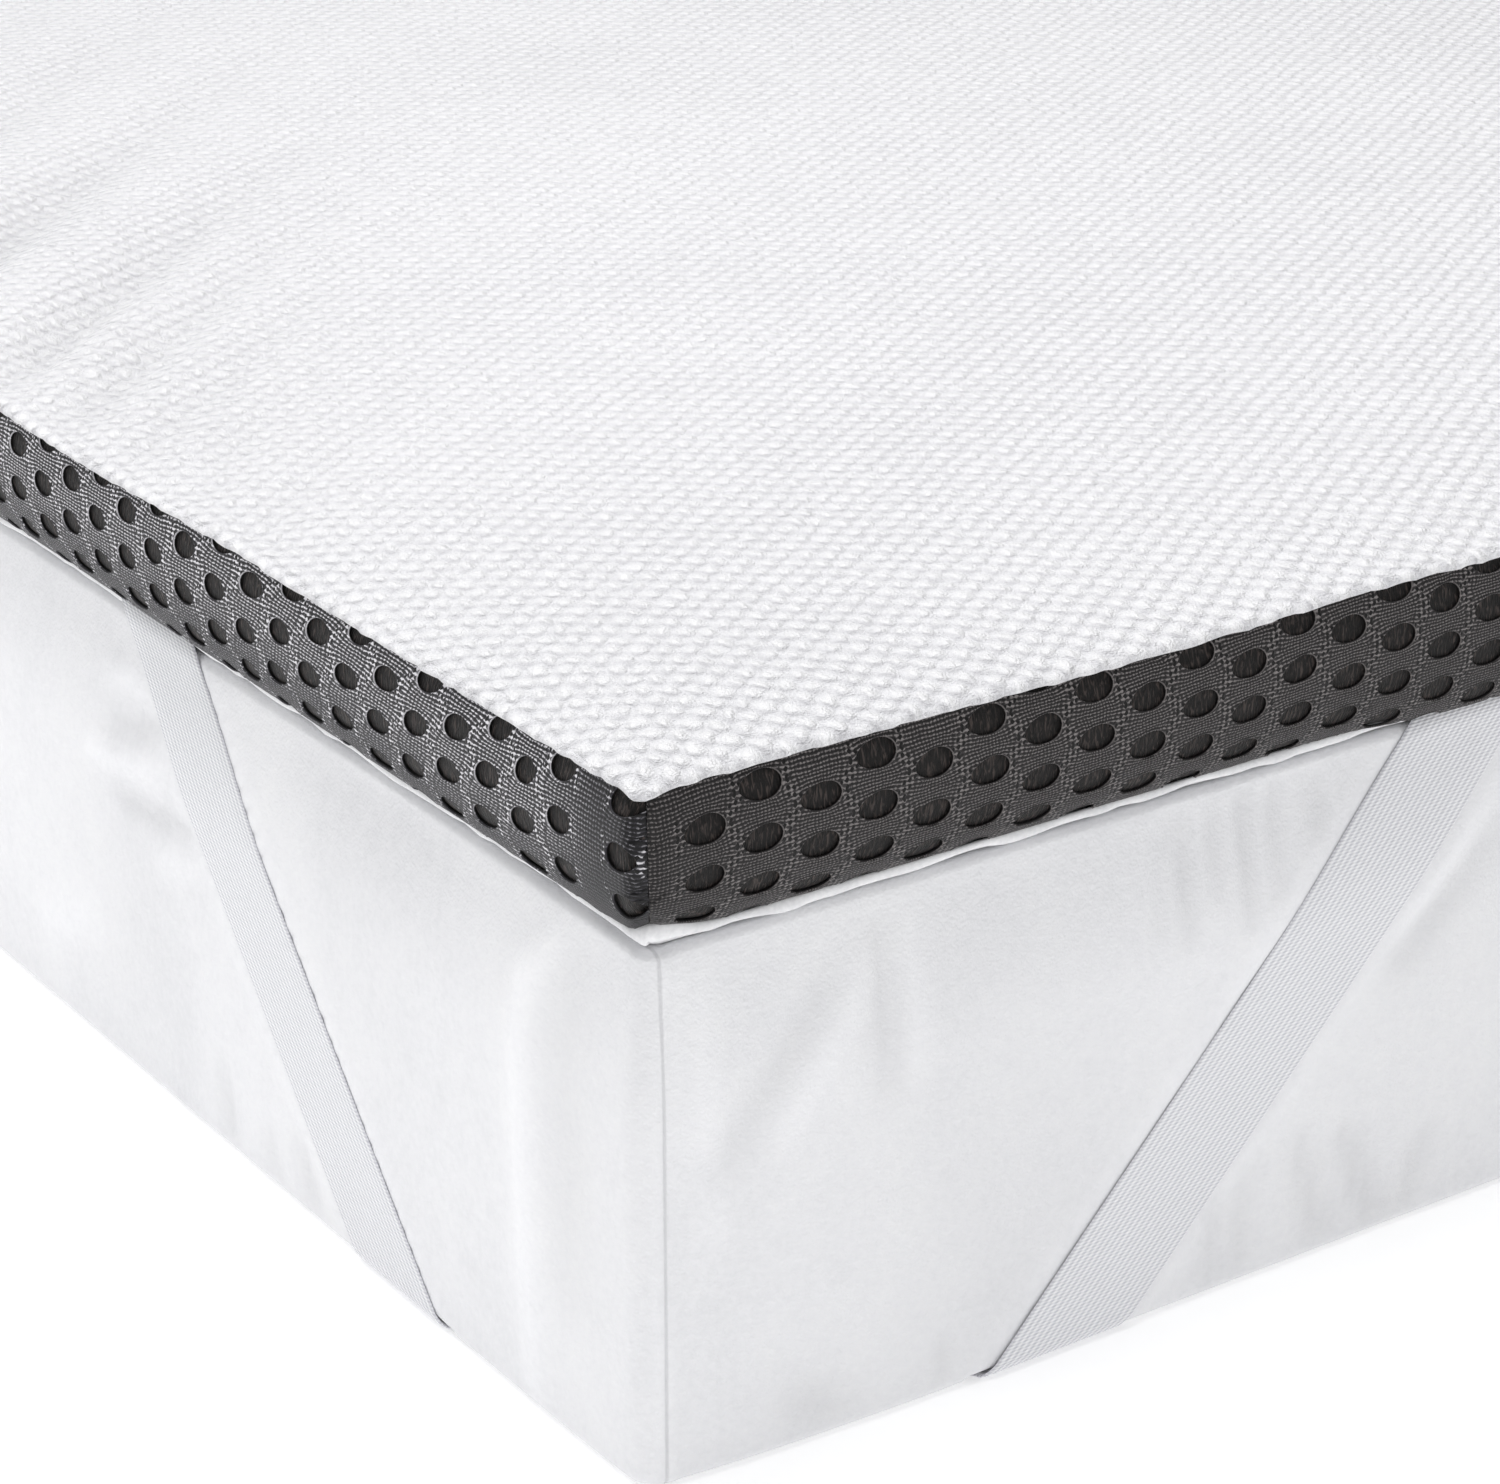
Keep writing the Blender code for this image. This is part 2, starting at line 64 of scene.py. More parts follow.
camera_data = bpy.data.cameras.new("camera")
camera_data.sensor_width = 36.0
camera_data.lens = camera_data.sensor_width * FOCAL_LENGTH_PIXELS / IMAGE_WIDTH_PIXELS
camera_data.clip_start = 0.05
camera_data.clip_end = 60.0
camera = bpy.data.objects.new("camera", camera_data)
bpy.context.scene.collection.objects.link(camera)
camera.matrix_world = Matrix.Translation(CAMERA_PLACE)
for angle, axis in ((-CAMERA_TURN, "Z"), (math.radians(90) - CAMERA_TILT, "X"), (CAMERA_ROLL, "Z")):
    camera.matrix_world @= Matrix.Rotation(angle, 4, axis)
bpy.context.scene.camera = camera
bpy.context.scene.view_settings.view_transform = "Standard"


class Wire:
    """A node's output. Plus, minus and times on it add the node that works them out."""

    def __init__(self, socket):
        self.socket = socket
        self.tree = socket.id_data

    def maths(self, operation, *others):
        """What a Math node makes of this wire and the others."""
        links = dict(enumerate((self, *others)))
        return add_node(self.tree, "ShaderNodeMath", links, operation=operation)

    def parts(self):
        """The three numbers of a vector."""
        separate = add_node(self.tree, "ShaderNodeSeparateXYZ", {"Vector": self})
        return [Wire(output) for output in separate.socket.node.outputs]

    def __add__(self, other):
        return self.maths("ADD", other)

    def __sub__(self, other):
        return self.maths("SUBTRACT", other)

    def __mul__(self, other):
        return self.maths("MULTIPLY", other)

    def __rsub__(self, other):
        return add_node(self.tree, "ShaderNodeMath", {0: other, 1: self}, operation="SUBTRACT")

    def __abs__(self):
        return self.maths("ABSOLUTE")

    __radd__ = __add__
    __rmul__ = __mul__


def add_node(tree, kind, links=None, output=0, **settings):
    """One output of a new node, with its settings made and with values or wires put in."""
    node = tree.nodes.new(kind)
    for name, value in settings.items():
        setattr(node, name, value)
    for name, value in (links or {}).items():
        if isinstance(value, Wire):
            tree.links.new(value.socket, node.inputs[name])
        else:
            node.inputs[name].default_value = value
    return Wire(node.outputs[output])


def new_cloth(name, roughness, sheen):
    """A material with its shader's even values set, and its node tree."""
    material = bpy.data.materials.new(name)
    material.use_nodes = True
    tree = material.node_tree
    inputs = tree.nodes["Principled BSDF"].inputs
    inputs["Roughness"].default_value = roughness
    inputs["Specular IOR Level"].default_value = 0.25
    inputs["Sheen Weight"].default_value = sheen
    inputs["Sheen Roughness"].default_value = 0.5
    return material, tree


def noise(place, scale, detail=2.0, output="Fac", distortion=0.0):
    """Soft random tones over a place."""
    links = {"Vector": place, "Scale": scale, "Detail": detail, "Distortion": distortion}
    return add_node(place.tree, "ShaderNodeTexNoise", links, output)


def colour_ramp(factor, stops):
    """A colour ramp over factor. Each stop is (place, colour)."""
    ramp = add_node(factor.tree, "ShaderNodeValToRGB", {"Fac": factor})
    elements = ramp.socket.node.color_ramp.elements
    while len(elements) < len(stops):
        elements.new(0.5)
    for element, (place, colour) in zip(elements, stops):
        element.position = place
        element.color = (*colour, 1.0)
    return ramp


bpy.ops.object.select_all(action="DESELECT")
bpy.ops.mesh.primitive_plane_add(size=FLOOR_SIZE, location=(0, 0, 0))
floor = bpy.context.object
floor.name = "studio_floor"
floor_paint, tree = new_cloth("floor_paint", 0.9, 0.0)
place = add_node(tree, "ShaderNodeTexCoord", output="Object")
tone = colour_ramp(noise(place, 2.0), FLOOR_TONES)
floor_inputs = tree.nodes["Principled BSDF"].inputs
tree.links.new(tone.socket, floor_inputs["Base Color"])
tree.links.new(tone.socket, floor_inputs["Emission Color"])
floor_inputs["Emission Strength"].default_value = FLOOR_GLOW
floor.data.materials.append(floor_paint)

world = bpy.data.worlds.new("studio")
world.use_nodes = True
world.node_tree.nodes["Background"].inputs["Color"].default_value = AIR_COLOUR
world.node_tree.nodes["Background"].inputs["Strength"].default_value = AIR_LIGHT
bpy.context.scene.world = world

for name, spot, aim, size, watts in SOFT_BOXES:
    lamp_data = bpy.data.lights.new(name, "AREA")
    lamp_data.shape = "SQUARE"
    lamp_data.size = size
    lamp_data.energy = watts
    lamp = bpy.data.objects.new(name, lamp_data)
    bpy.context.scene.collection.objects.link(lamp)
    lamp.location = spot
    lamp.rotation_euler = (Vector(aim) - Vector(spot)).to_track_quat("-Z", "Y").to_euler()

# ---- the mattress in its cover ----
# A foam mattress in a white stretch cover of fine knit, seamed up each corner. The straps
# press into its bottom edges, and the topper's weight draws small pleats under its rim.

HALF_WIDTH = 0.700
HALF_LENGTH = 1.000
HALF_SIZE = np.array((HALF_WIDTH, HALF_LENGTH))  # half the run of a short side, of a long side
MATTRESS_HEIGHT = 0.200
COVER_INSET = 0.002
COVER_CORNER = 0.016
COVER_BOTTOM_ROUND = 0.005
COVER_TOP_ROUND = 0.003
DRAW_INS = ((0.0090, 0.055), (0.0030, 0.030))  # depth and reach at a corner: short, long sides
PLAIN_MIDDLE = 0.080  # half the stretch in a side's middle that needs few points
POINT_STEPS = ((0.130, 0.006), (0.215, 0.0045), (9.0, 0.007))  # up to a place, this far apart
TOP_DRAW = (0.0090, 0.0105)  # how far the top edge leans in, on short and on long sides
TOP_DRAW_FOOT = 0.138
LEAN_SHARED, LEAN_REACH = 0.6, 0.050  # how much of the lean both sides share at a corner
STRAP_CORNER_REACH = 0.172
STRAP_LEANS = (0.946, 0.863)  # on the short sides, on the long sides
STRAP_SLIDES = (0.0060, 0.0157)  # how far they run on along the leaning top edge
STRAP_HALF_WIDTH = 0.0225
STRAP_BED_DEPTH = 0.0019


def bell(distance, reach):
    """1 in the middle, and next to nothing from about twice the reach."""
    return np.exp(-((distance / reach) ** 2))


def ease(share):
    """0 to 1 with a level start and end."""
    share = np.clip(share, 0.0, 1.0)
    return share * share * (3 - 2 * share)


def top_draw(z):
    """How far the mattress's side leans in towards its top edge, from 0 to 1."""
    return ease((z - TOP_DRAW_FOOT) / (MATTRESS_HEIGHT - TOP_DRAW_FOOT))


def strap_run(z, on_long):
    """How far along a side a strap's middle has run at a height, from its bottom edge."""
    return z * STRAP_LEANS[on_long] + STRAP_SLIDES[on_long] * top_draw(z)


def smooth(mesh, sharp_angle=60):
    """Shades a mesh smooth, but sharp where its faces meet at more than an angle."""
    mesh.shade_smooth()
    mesh.set_sharp_from_angle(angle=math.radians(sharp_angle))


def mesh_object(name, points, faces, material, sharp_angle=60):
    """A smooth object with its place in its mesh."""
    mesh = bpy.data.meshes.new(name)
    mesh.from_pydata(np.asarray(points).tolist(), [], faces)
    item = bpy.data.objects.new(name, mesh)
    bpy.context.scene.collection.objects.link(item)
    mesh.materials.append(material)
    smooth(mesh, sharp_angle)
    return item


def closed_ring_faces(ring_count, around):
    """Quads between closed rings of points that are listed ring after ring."""
    faces = []
    for k in range(ring_count - 1):
        for i in range(around):
            j = (i + 1) % around
            faces.append((k * around + i, k * around + j, (k + 1) * around + j, (k + 1) * around + i))
    return faces


def side_frame(side, half_size=HALF_SIZE):
    """A side's sharp starting corner, the ways along it and inwards from it, and its length."""
    turn = math.radians(90) * side
    way = np.array((round(math.cos(turn)), round(math.sin(turn))))
    inward = np.array((-way[1], way[0]))
    half = half_size @ np.abs(way)
    return -way * half - inward * (half_size @ np.abs(inward)), way, inward, 2 * half


def graded_places(length, margin):
    """Places along a side from corner to corner, closer together near the straps."""
    near = []
    start = COVER_CORNER + 0.004
    for end, step in POINT_STEPS:
        end = min(end, margin)
        near += list(np.arange(start, end - step * 0.4, step))
        start = end
    middle = np.linspace(near[-1], length - near[-1], 15)[1:-1]
    return np.array([*near, *middle, *(length - value for value in reversed(near))])


def cover_outline(inset):
    """x, y, side, distance to the nearer corner and which half, round the cover from above."""
    rows = []
    for side in range(4):
        start, way, inward, length = side_frame(side, HALF_SIZE - COVER_INSET - inset)
        pull, reach = DRAW_INS[side % 2]
        other, other_reach = DRAW_INS[(side + 1) % 2]
        angle = np.radians(np.linspace(0, 90, 13))
        share = np.linspace(0, 1, 13)
        arc_along = COVER_CORNER * (1 - np.cos(angle))
        arc_depth = COVER_CORNER * (1 - np.sin(angle))
        run = np.append(
            graded_places(length, HALF_SIZE[side % 2] - PLAIN_MIDDLE), length - COVER_CORNER
        )
        along = np.concatenate([
            arc_along + (1 - share) * other * np.exp(-arc_depth / other_reach), run
        ])
        depth = np.concatenate([
            arc_depth + share * pull * np.exp(-arc_along / reach),
            pull * np.exp(-np.minimum(run, length - run) / reach),
        ])
        for a, d in zip(along, depth):
            x, y = start + way * a + inward * d
            rows.append((x, y, side, min(a, length - a) + inset + COVER_INSET, a < length / 2))
    return np.array(rows)


# The cover's soft folds near a corner, measured from the corner along a side and up from the
# floor, in millimetres. long says whether a fold lies on the long side.
FOLDS = (  # long, near_1, z_1, near_2, z_2, half_width, height
    (0, 27, 188, 33, 95, 7.0, 0.5),
    (0, 36, 118, 78, 172, 9.0, -0.8),
    (0, 60, 128, 96, 178, 8.0, 0.7),
    (0, 101, 186, 103, 130, 5.5, -0.9),
    (0, 112, 190, 114, 135, 6.5, 0.5),
    (0, 222, 196, 219, 156, 2.8, -0.9),
    (0, 233, 196, 230, 150, 2.8, -0.9),
    (0, 247, 196, 243, 158, 2.8, -0.7),
    (0, 260, 196, 259, 150, 3.0, -1.0),
    (0, 272, 196, 271, 152, 2.8, -0.9),
    (0, 284, 196, 283, 160, 2.8, -0.9),
    (0, 296, 196, 295, 170, 2.6, -0.8),
    (0, 82, 8, 62, 24, 12.0, -0.8),
    (0, 122, 2, 124, 22, 2.5, -0.6),
    (0, 246, 4, 247, 42, 5.0, -0.6),
    (0, 259, 4, 262, 48, 5.0, -0.7),
    (0, 300, 4, 286, 52, 6.0, -0.9),
    (0, 328, 4, 309, 48, 6.5, -1.1),
    (0, 341, 4, 349, 36, 6.0, -0.8),
    (0, 333, 112, 378, 152, 8.0, -0.9),
    (0, 331, 132, 384, 172, 8.0, 0.9),
    (1, 62, 190, 78, 166, 7.0, 0.8),
    (1, 78, 170, 77, 10, 9.0, 0.9),
    (1, 52, 176, 50, 60, 16.0, -0.7),
    (1, 352, 181, 402, 172, 5.5, 0.9),
    (1, 347, 166, 392, 151, 6.0, -1.0),
    (1, 350, 147, 412, 137, 6.5, 1.0),
    (1, 326, 130, 384, 124, 6.0, -0.9),
    (1, 324, 116, 354, 108, 6.0, 0.7),
    (1, 238, 3, 250, 30, 7.0, -0.8),
    (1, 268, 3, 274, 24, 6.0, -0.7),
    (1, 306, 3, 312, 34, 7.0, -0.9),
    (1, 420, 60, 470, 40, 14.0, 0.6),
)
FOLD_SHARE = 2.6
CORNER_FOLD_SHARES = (1.0, 0.8, 0.7, 0.9)  # front left, front right, back right, back left
SWELLS = ((0.0004, 31, 0, 1.7), (0.0003, 17, 26, 1))  # height, turns along, up and by side
SWELL_START = 0.15
SEAM_PLACE = 0.0127  # the corner seam, from the corner along the short side
SEAM_LEAN = 0.0142
SEAM_RIDGES = (0.00045, 0.0026, 0.0022)  # height, distance from the seam, half width
SEAM_GROOVE = (0.0003, 0.0010)  # depth, half width
SEAM_KNOB = (0.0006, 0.001, 0.004, 0.192, 0.006)  # height, place, reach, and its place up, reach
BED_PRESS, BED_EDGE = 0.0003, 0.004  # how far a strap presses in, and how wide that fades out
STRAP_SWELL, STRAP_SWELL_REACH = 0.0010, 0.005  # beside a strap
BED_STEP, BED_STEP_RUN = 0.0005, 0.0012  # the bed's edge under the mattress
FOOT_FADE, HEAD_FADE = 0.012, 0.006  # the cover is plain right at its bottom and top edges
UNDERSIDE_INSETS = (0.034, 0.018)
SIDE_FOOT, SIDE_HEAD = 0.010, MATTRESS_HEIGHT - COVER_TOP_ROUND - 0.004


def cover_relief(side, near, first_half, z):
    """How far the cover stands out from its plain shape, in metres."""
    is_long = side % 2 == 1
    corner = np.where(first_half > 0.5, side, (side + 1) % 4).astype(int)
    relief = np.zeros_like(near)
    for on_long, near_1, z_1, near_2, z_2, half_width, height in FOLDS:
        ax, az, bx, bz = np.array([near_1, z_1, near_2, z_2]) / 1000
        run = np.array([bx - ax, bz - az])
        share = ((near - ax) * run[0] + (z - az) * run[1]) / np.hypot(*run) ** 2
        held = np.clip(share, 0, 1)
        off = np.hypot(near - ax - held * run[0], z - az - held * run[1])
        # full in the middle of its run, and under two thirds of that at its ends
        taper = 0.35 + 0.65 * np.sin(math.pi * np.clip(0.15 + 0.7 * share, 0, 1))
        fold = FOLD_SHARE * height / 1000 * taper * bell(off, half_width / 1000)
        relief += np.where(is_long == on_long, fold, 0.0)
    relief *= np.array(CORNER_FOLD_SHARES)[corner]
    for height, turns_along, turns_up, turn_by_side in SWELLS:
        turn = near * turns_along + z * turns_up + side * turn_by_side
        relief += height * np.sin(turn) * ease(near / SWELL_START)
    off = near - SEAM_PLACE - SEAM_LEAN * z
    height, aside, reach = SEAM_RIDGES
    seam = height * bell(np.abs(off) - aside, reach) - SEAM_GROOVE[0] * bell(off, SEAM_GROOVE[1])
    height, aside, reach, knob_z, reach_up = SEAM_KNOB
    seam += height * bell(off + aside, reach) * bell(z - knob_z, reach_up)
    relief += np.where(is_long, 0.0, seam)
    # the straps lie flat on it, and the cloth swells a little beside them
    lean = np.where(is_long, STRAP_LEANS[1], STRAP_LEANS[0])
    run = np.where(is_long, strap_run(z, 1), strap_run(z, 0))
    off = np.abs(near - STRAP_CORNER_REACH - run) / np.sqrt(1 + lean**2) - STRAP_HALF_WIDTH
    under = 1 - ease(off / BED_EDGE)
    relief = relief * (1 - under) - BED_PRESS * under
    relief += STRAP_SWELL * bell(off - BED_EDGE, STRAP_SWELL_REACH)
    return relief * ease(z / FOOT_FADE) * ease((MATTRESS_HEIGHT - z) / HEAD_FADE)


def strap_bed(x, y):
    """1 where a strap crosses under a corner of the mattress, from above."""
    off = (HALF_WIDTH - np.abs(x) + HALF_LENGTH - np.abs(y) - STRAP_CORNER_REACH) / math.sqrt(2)
    return 1 - ease((np.abs(off) - STRAP_HALF_WIDTH - BED_STEP) / BED_STEP_RUN)


def rounded(radius, middle, degrees):
    """A section on a rounded edge: its inset, its height and how far the cloth looks up."""
    angle = math.radians(degrees)
    return radius * (1 - math.cos(angle)), middle + radius * math.sin(angle), degrees


base = cover_outline(0.0)
x, y, side, near, first_half = base.T
way = np.roll(base[:, :2], -1, 0) - np.roll(base[:, :2], 1, 0)
way /= np.hypot(way[:, 0], way[:, 1])[:, None]
outward = np.stack([way[:, 1], -way[:, 0]], -1)
sections = [(inset, 0.0, -90.0) for inset in UNDERSIDE_INSETS]  # each as rounded gives it
sections += [rounded(COVER_BOTTOM_ROUND, COVER_BOTTOM_ROUND, tilt) for tilt in np.linspace(-90, 0, 6)]
for height in np.linspace(SIDE_FOOT, SIDE_HEAD, 30):
    sections.append((0.0, height, 0.0))
for tilt in np.linspace(0, 90, 9):
    sections.append(rounded(COVER_TOP_ROUND, MATTRESS_HEIGHT - COVER_TOP_ROUND, tilt))
on_long = side % 2 == 1
at_corner = LEAN_SHARED * np.exp(-near / LEAN_REACH)
lean_x = TOP_DRAW[1] * np.where(on_long, 1 - at_corner, at_corner)
lean_y = TOP_DRAW[0] * np.where(on_long, 0.0, 1 - np.exp(-near / DRAW_INS[0][1]))
rings, reliefs = [], []
for inset, height, degrees in sections:
    ring = cover_outline(inset)
    angle = math.radians(degrees)
    relief = cover_relief(side, near, first_half, np.full_like(near, height))
    bed = STRAP_BED_DEPTH * max(0.0, -math.sin(angle)) * strap_bed(ring[:, 0], ring[:, 1])
    out = (relief - bed) * math.cos(angle)
    reliefs.append(relief)
    rings.append(np.column_stack([
        ring[:, 0] + outward[:, 0] * out - np.sign(x) * lean_x * top_draw(height),
        ring[:, 1] + outward[:, 1] * out - np.sign(y) * lean_y * top_draw(height),
        height + (relief - bed) * math.sin(angle),
    ]))
around = len(base)
faces = closed_ring_faces(len(rings), around)
faces.append(tuple(range((len(rings) - 1) * around, len(rings) * around)))


def fill_flat(outline, inner, lines, height_at):
    """Points and triangles that fill an outline, through inner points and along lines."""
    count = len(outline)
    spots = [Vector(p[:2]) for p in outline] + [Vector(p) for p in inner]
    edges = [(i, (i + 1) % count) for i in range(count)]
    for start, end in lines:
        edges.append((len(spots), len(spots) + 1))
        spots += [Vector(start), Vector(end)]
    flat, _, triangles, origins, _, _ = delaunay_2d_cdt(spots, edges, [], 1, 1e-7)
    places = np.array([tuple(p) for p in flat])
    heights = height_at(places[:, 0], places[:, 1])
    for i, origin in enumerate(origins):
        if origin and min(origin) < count:
            places[i] = outline[min(origin)][:2]
            heights[i] = outline[min(origin)][2]
    return np.column_stack([places, heights]), [tuple(face) for face in triangles]


def joined(parts):
    """One list of points and faces from several."""
    points, faces, start = [], [], 0
    for part_points, part_faces in parts:
        points.append(np.asarray(part_points))
        faces += [tuple(i + start for i in face) for face in part_faces]
        start += len(part_points)
    return np.concatenate(points), faces


def closed_mesh(name, points, faces, material, label, values):
    """An object whose touching points are merged and whose faces look outwards.

    values are a number at each point, which its material reads as the attribute label.
    """
    item = mesh_object(name, points, faces, material)
    layer = item.data.attributes.new(label, "FLOAT", "POINT")
    layer.data.foreach_set("value", values)
    shell = bmesh.new()
    shell.from_mesh(item.data)
    bmesh.ops.remove_doubles(shell, verts=shell.verts, dist=1e-6)
    bmesh.ops.recalc_face_normals(shell, faces=shell.faces)
    shell.to_mesh(item.data)
    shell.free()
    smooth(item.data)
    return item


# The underside is filled in flat, with lines along the edges of the straps' beds.
BED_LINES = (0.0019, 0.0004)  # outwards from a strap's edges
BED_LINE_INSET = UNDERSIDE_INSETS[0] + 0.005
bed_lines = []
for sign_x in (-1, 1):
    for sign_y in (-1, 1):
        for beyond in BED_LINES:
            for half in (-STRAP_HALF_WIDTH, STRAP_HALF_WIDTH):
                reach = STRAP_CORNER_REACH + (half + math.copysign(beyond, half)) * math.sqrt(2)
                near_x, far_x = HALF_WIDTH - BED_LINE_INSET, HALF_WIDTH - reach + BED_LINE_INSET
                near_y, far_y = HALF_LENGTH - BED_LINE_INSET, HALF_LENGTH - reach + BED_LINE_INSET
                bed_lines.append((
                    (sign_x * near_x, sign_y * far_y), (sign_x * far_x, sign_y * near_y)
                ))
underside = fill_flat(rings[0], [], bed_lines, lambda x, y: STRAP_BED_DEPTH * strap_bed(x, y))

mottle = bpy.data.node_groups.new("cloth_mottle", "ShaderNodeTree")
mottle.interface.new_socket("Vector", in_out="INPUT", socket_type="NodeSocketVector")
mottle.interface.new_socket("Scale", in_out="INPUT", socket_type="NodeSocketFloat")
mottle.interface.new_socket("Fac", in_out="OUTPUT", socket_type="NodeSocketFloat")
place, scale, *_ = [Wire(socket) for socket in mottle.nodes.new("NodeGroupInput").outputs]
blotches = 0.6 * noise(place, scale, 4.0) + 0.4 * noise(place, scale * 9.0, 3.0)
mottle.links.new(blotches.socket, mottle.nodes.new("NodeGroupOutput").inputs["Fac"])


def mottled(place, scale):
    """Broad and fine blotches over a cloth."""
    links = {"Vector": place, "Scale": scale}
    return add_node(place.tree, "ShaderNodeGroup", links, node_tree=mottle)


def ranged(value, low, high, start=0.0, end=1.0):
    """A value's place from low to high, given as one from start to end."""
    links = {"Value": value, 1: low, 2: high, 3: start, 4: end}
    return add_node(value.tree, "ShaderNodeMapRange", links)


def lit(tone, value):
    """A colour made lighter or darker."""
    return add_node(tone.tree, "ShaderNodeHueSaturation", {"Color": tone, "Value": value})


def finish_cloth(tree, tone, relief, strength, distance):
    """Puts a cloth's colour and its bump on its shader."""
    links = {"Height": relief, "Strength": strength, "Distance": distance}
    bump = add_node(tree, "ShaderNodeBump", links)
    inputs = tree.nodes["Principled BSDF"].inputs
    tree.links.new(tone.socket, inputs["Base Color"])
    tree.links.new(bump.socket, inputs["Normal"])


STITCHES_PER_METRE = 780.0
FOLD_SHADE, FULL_FOLD = 0.085, 0.0022  # how much lighter a fold of that height is
SEAM_LINE = (0.0002, 0.0008)  # how far from the seam its line starts and ends fading
SEAM_TONE, SEAM_STRENGTH = (0.50, 0.50, 0.52, 1.0), 0.45
SEAM_ZONE = 0.022  # the seam's line shows only this near the short sides

cover_cloth, tree = new_cloth("white_cover_knit", 0.88, 0.15)
place = add_node(tree, "ShaderNodeTexCoord", output="Object")
links = {"Vector": place, "Scale": STITCHES_PER_METRE}
stitches = add_node(tree, "ShaderNodeTexVoronoi", links)
yarns = noise(place, 320.0, 3.0)
drape = add_node(tree, "ShaderNodeMapping", {"Vector": place, "Scale": (16.0, 16.0, 4.5)})
shade = 0.40 * mottled(place, 9.0) + 0.25 * yarns + 0.35 * noise(drape, 1.0)
tone = colour_ramp(shade, (
    (0.36, (0.765, 0.767, 0.786)), (0.50, (0.82, 0.82, 0.838)), (0.62, (0.85, 0.85, 0.862))
))
# hollows gather a little shadow and the ridges of the folds catch the light
fold = add_node(tree, "ShaderNodeAttribute", output="Fac", attribute_name="fold")
tone = lit(tone, 1.0 + FOLD_SHADE * fold)
# the seam up each corner shows as a fine line on the short sides
place_x, place_y, place_z = place.parts()
off_seam = abs(HALF_WIDTH - SEAM_PLACE - abs(place_x) - SEAM_LEAN * place_z)
at_end = abs(place_y).maths("GREATER_THAN", HALF_LENGTH - SEAM_ZONE)
on_seam = ranged(off_seam, *SEAM_LINE, 1.0, 0.0) * at_end
links = {"Factor": on_seam * SEAM_STRENGTH, "A": tone, "B": SEAM_TONE}
tone = add_node(tree, "ShaderNodeMix", links, "Result", data_type="RGBA")
finish_cloth(tree, tone, 0.5 * stitches + yarns - on_seam, strength=0.4, distance=0.0008)

points, faces = joined([(np.concatenate(rings), faces), underside])
folds = np.zeros(len(points))
folds[:len(rings) * around] = np.clip(np.concatenate(reliefs) / FULL_FOLD, -1, 1)
mattress_cover = closed_mesh("mattress_cover", points, faces, cover_cloth, "fold", folds)
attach(mattress_cover, "root")
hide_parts("mattress")

# ---- the topper's bottom panel ----
# A white cloth under the topper. Its rolled edge shows as a thin bumpy lip under the border.

BOTTOM_SEAM_Z = MATTRESS_HEIGHT + 0.0053
PANEL_THICKNESS = 0.0023
PANEL_FLOOR = MATTRESS_HEIGHT + 0.0003
PANEL_RING = 0.060  # the inset past which the panel is one flat face
LIP_INSET = 0.0119
LIP_TUCK, LIP_TUCK_REACH = 0.0018, 0.020
LIP_RADIUS = 0.0013
LIP_DROP = 0.0019
LIP_RUN = 0.0045
LIP_CORNER, LIP_STEP = 0.004, 0.005
LIP_OVERLAP = 0.0006  # how far it reaches up behind the seam
LIP_LIFT, LIP_LIFT_REACH = 0.0050, (0.022, 0.008)  # at a corner, on short and on long sides
LIP_FOOT_RISE = 0.0018  # at a corner too
LIP_BUMPS = ((0.0007, 0.010, 3), (0.0011, 0.024, 4))  # height, pitch, seed
SLIDE_REACH = 0.035  # near a corner, what is drawn in is drawn along the side as well


def rim_run(step, corner):
    """Stations round the topper, with small round corners.

    Each is x, y, the way inwards in x and y, side, place along it and distance to its nearer end.
    """
    rows = []
    angle = np.radians(np.linspace(45, 90, 5))
    arc_along, arc_depth = corner * (1 - np.cos(angle)), corner * (1 - np.sin(angle))
    for side in range(4):
        start, way, inward, length = side_frame(side)
        run = np.linspace(corner, length - corner, int((length - 2 * corner) / step) + 1)[1:-1]
        along = np.concatenate([arc_along, run, length - arc_along[:0:-1]])
        depth = np.concatenate([arc_depth, 0 * run, arc_depth[:0:-1]])
        slide = np.clip(1 - (np.minimum(along, length - along) - corner) / SLIDE_REACH, 0, 1)
        slide = np.where(along < length / 2, slide, -slide)
        for a, d, s in zip(along, depth, slide):
            rows.append((
                *(start + way * a + inward * d), *(inward + way * s), side, a, min(a, length - a)
            ))
    return np.array(rows)


def soft_noise(places, pitch, seed):
    """A smooth random line along a run, about one bump in each pitch."""
    count = int(places.max() / pitch) + 4
    knots = np.random.default_rng(seed).uniform(-1, 1, count)
    spot = places / pitch
    cell = np.floor(spot).astype(int)
    share = ease(spot - cell)
    return knots[cell] * (1 - share) + knots[cell + 1] * share


def run_round(x, y):
    """How far round the topper each station lies."""
    return np.cumsum(np.hypot(np.diff(x, append=x[0]), np.diff(y, append=y[0])))


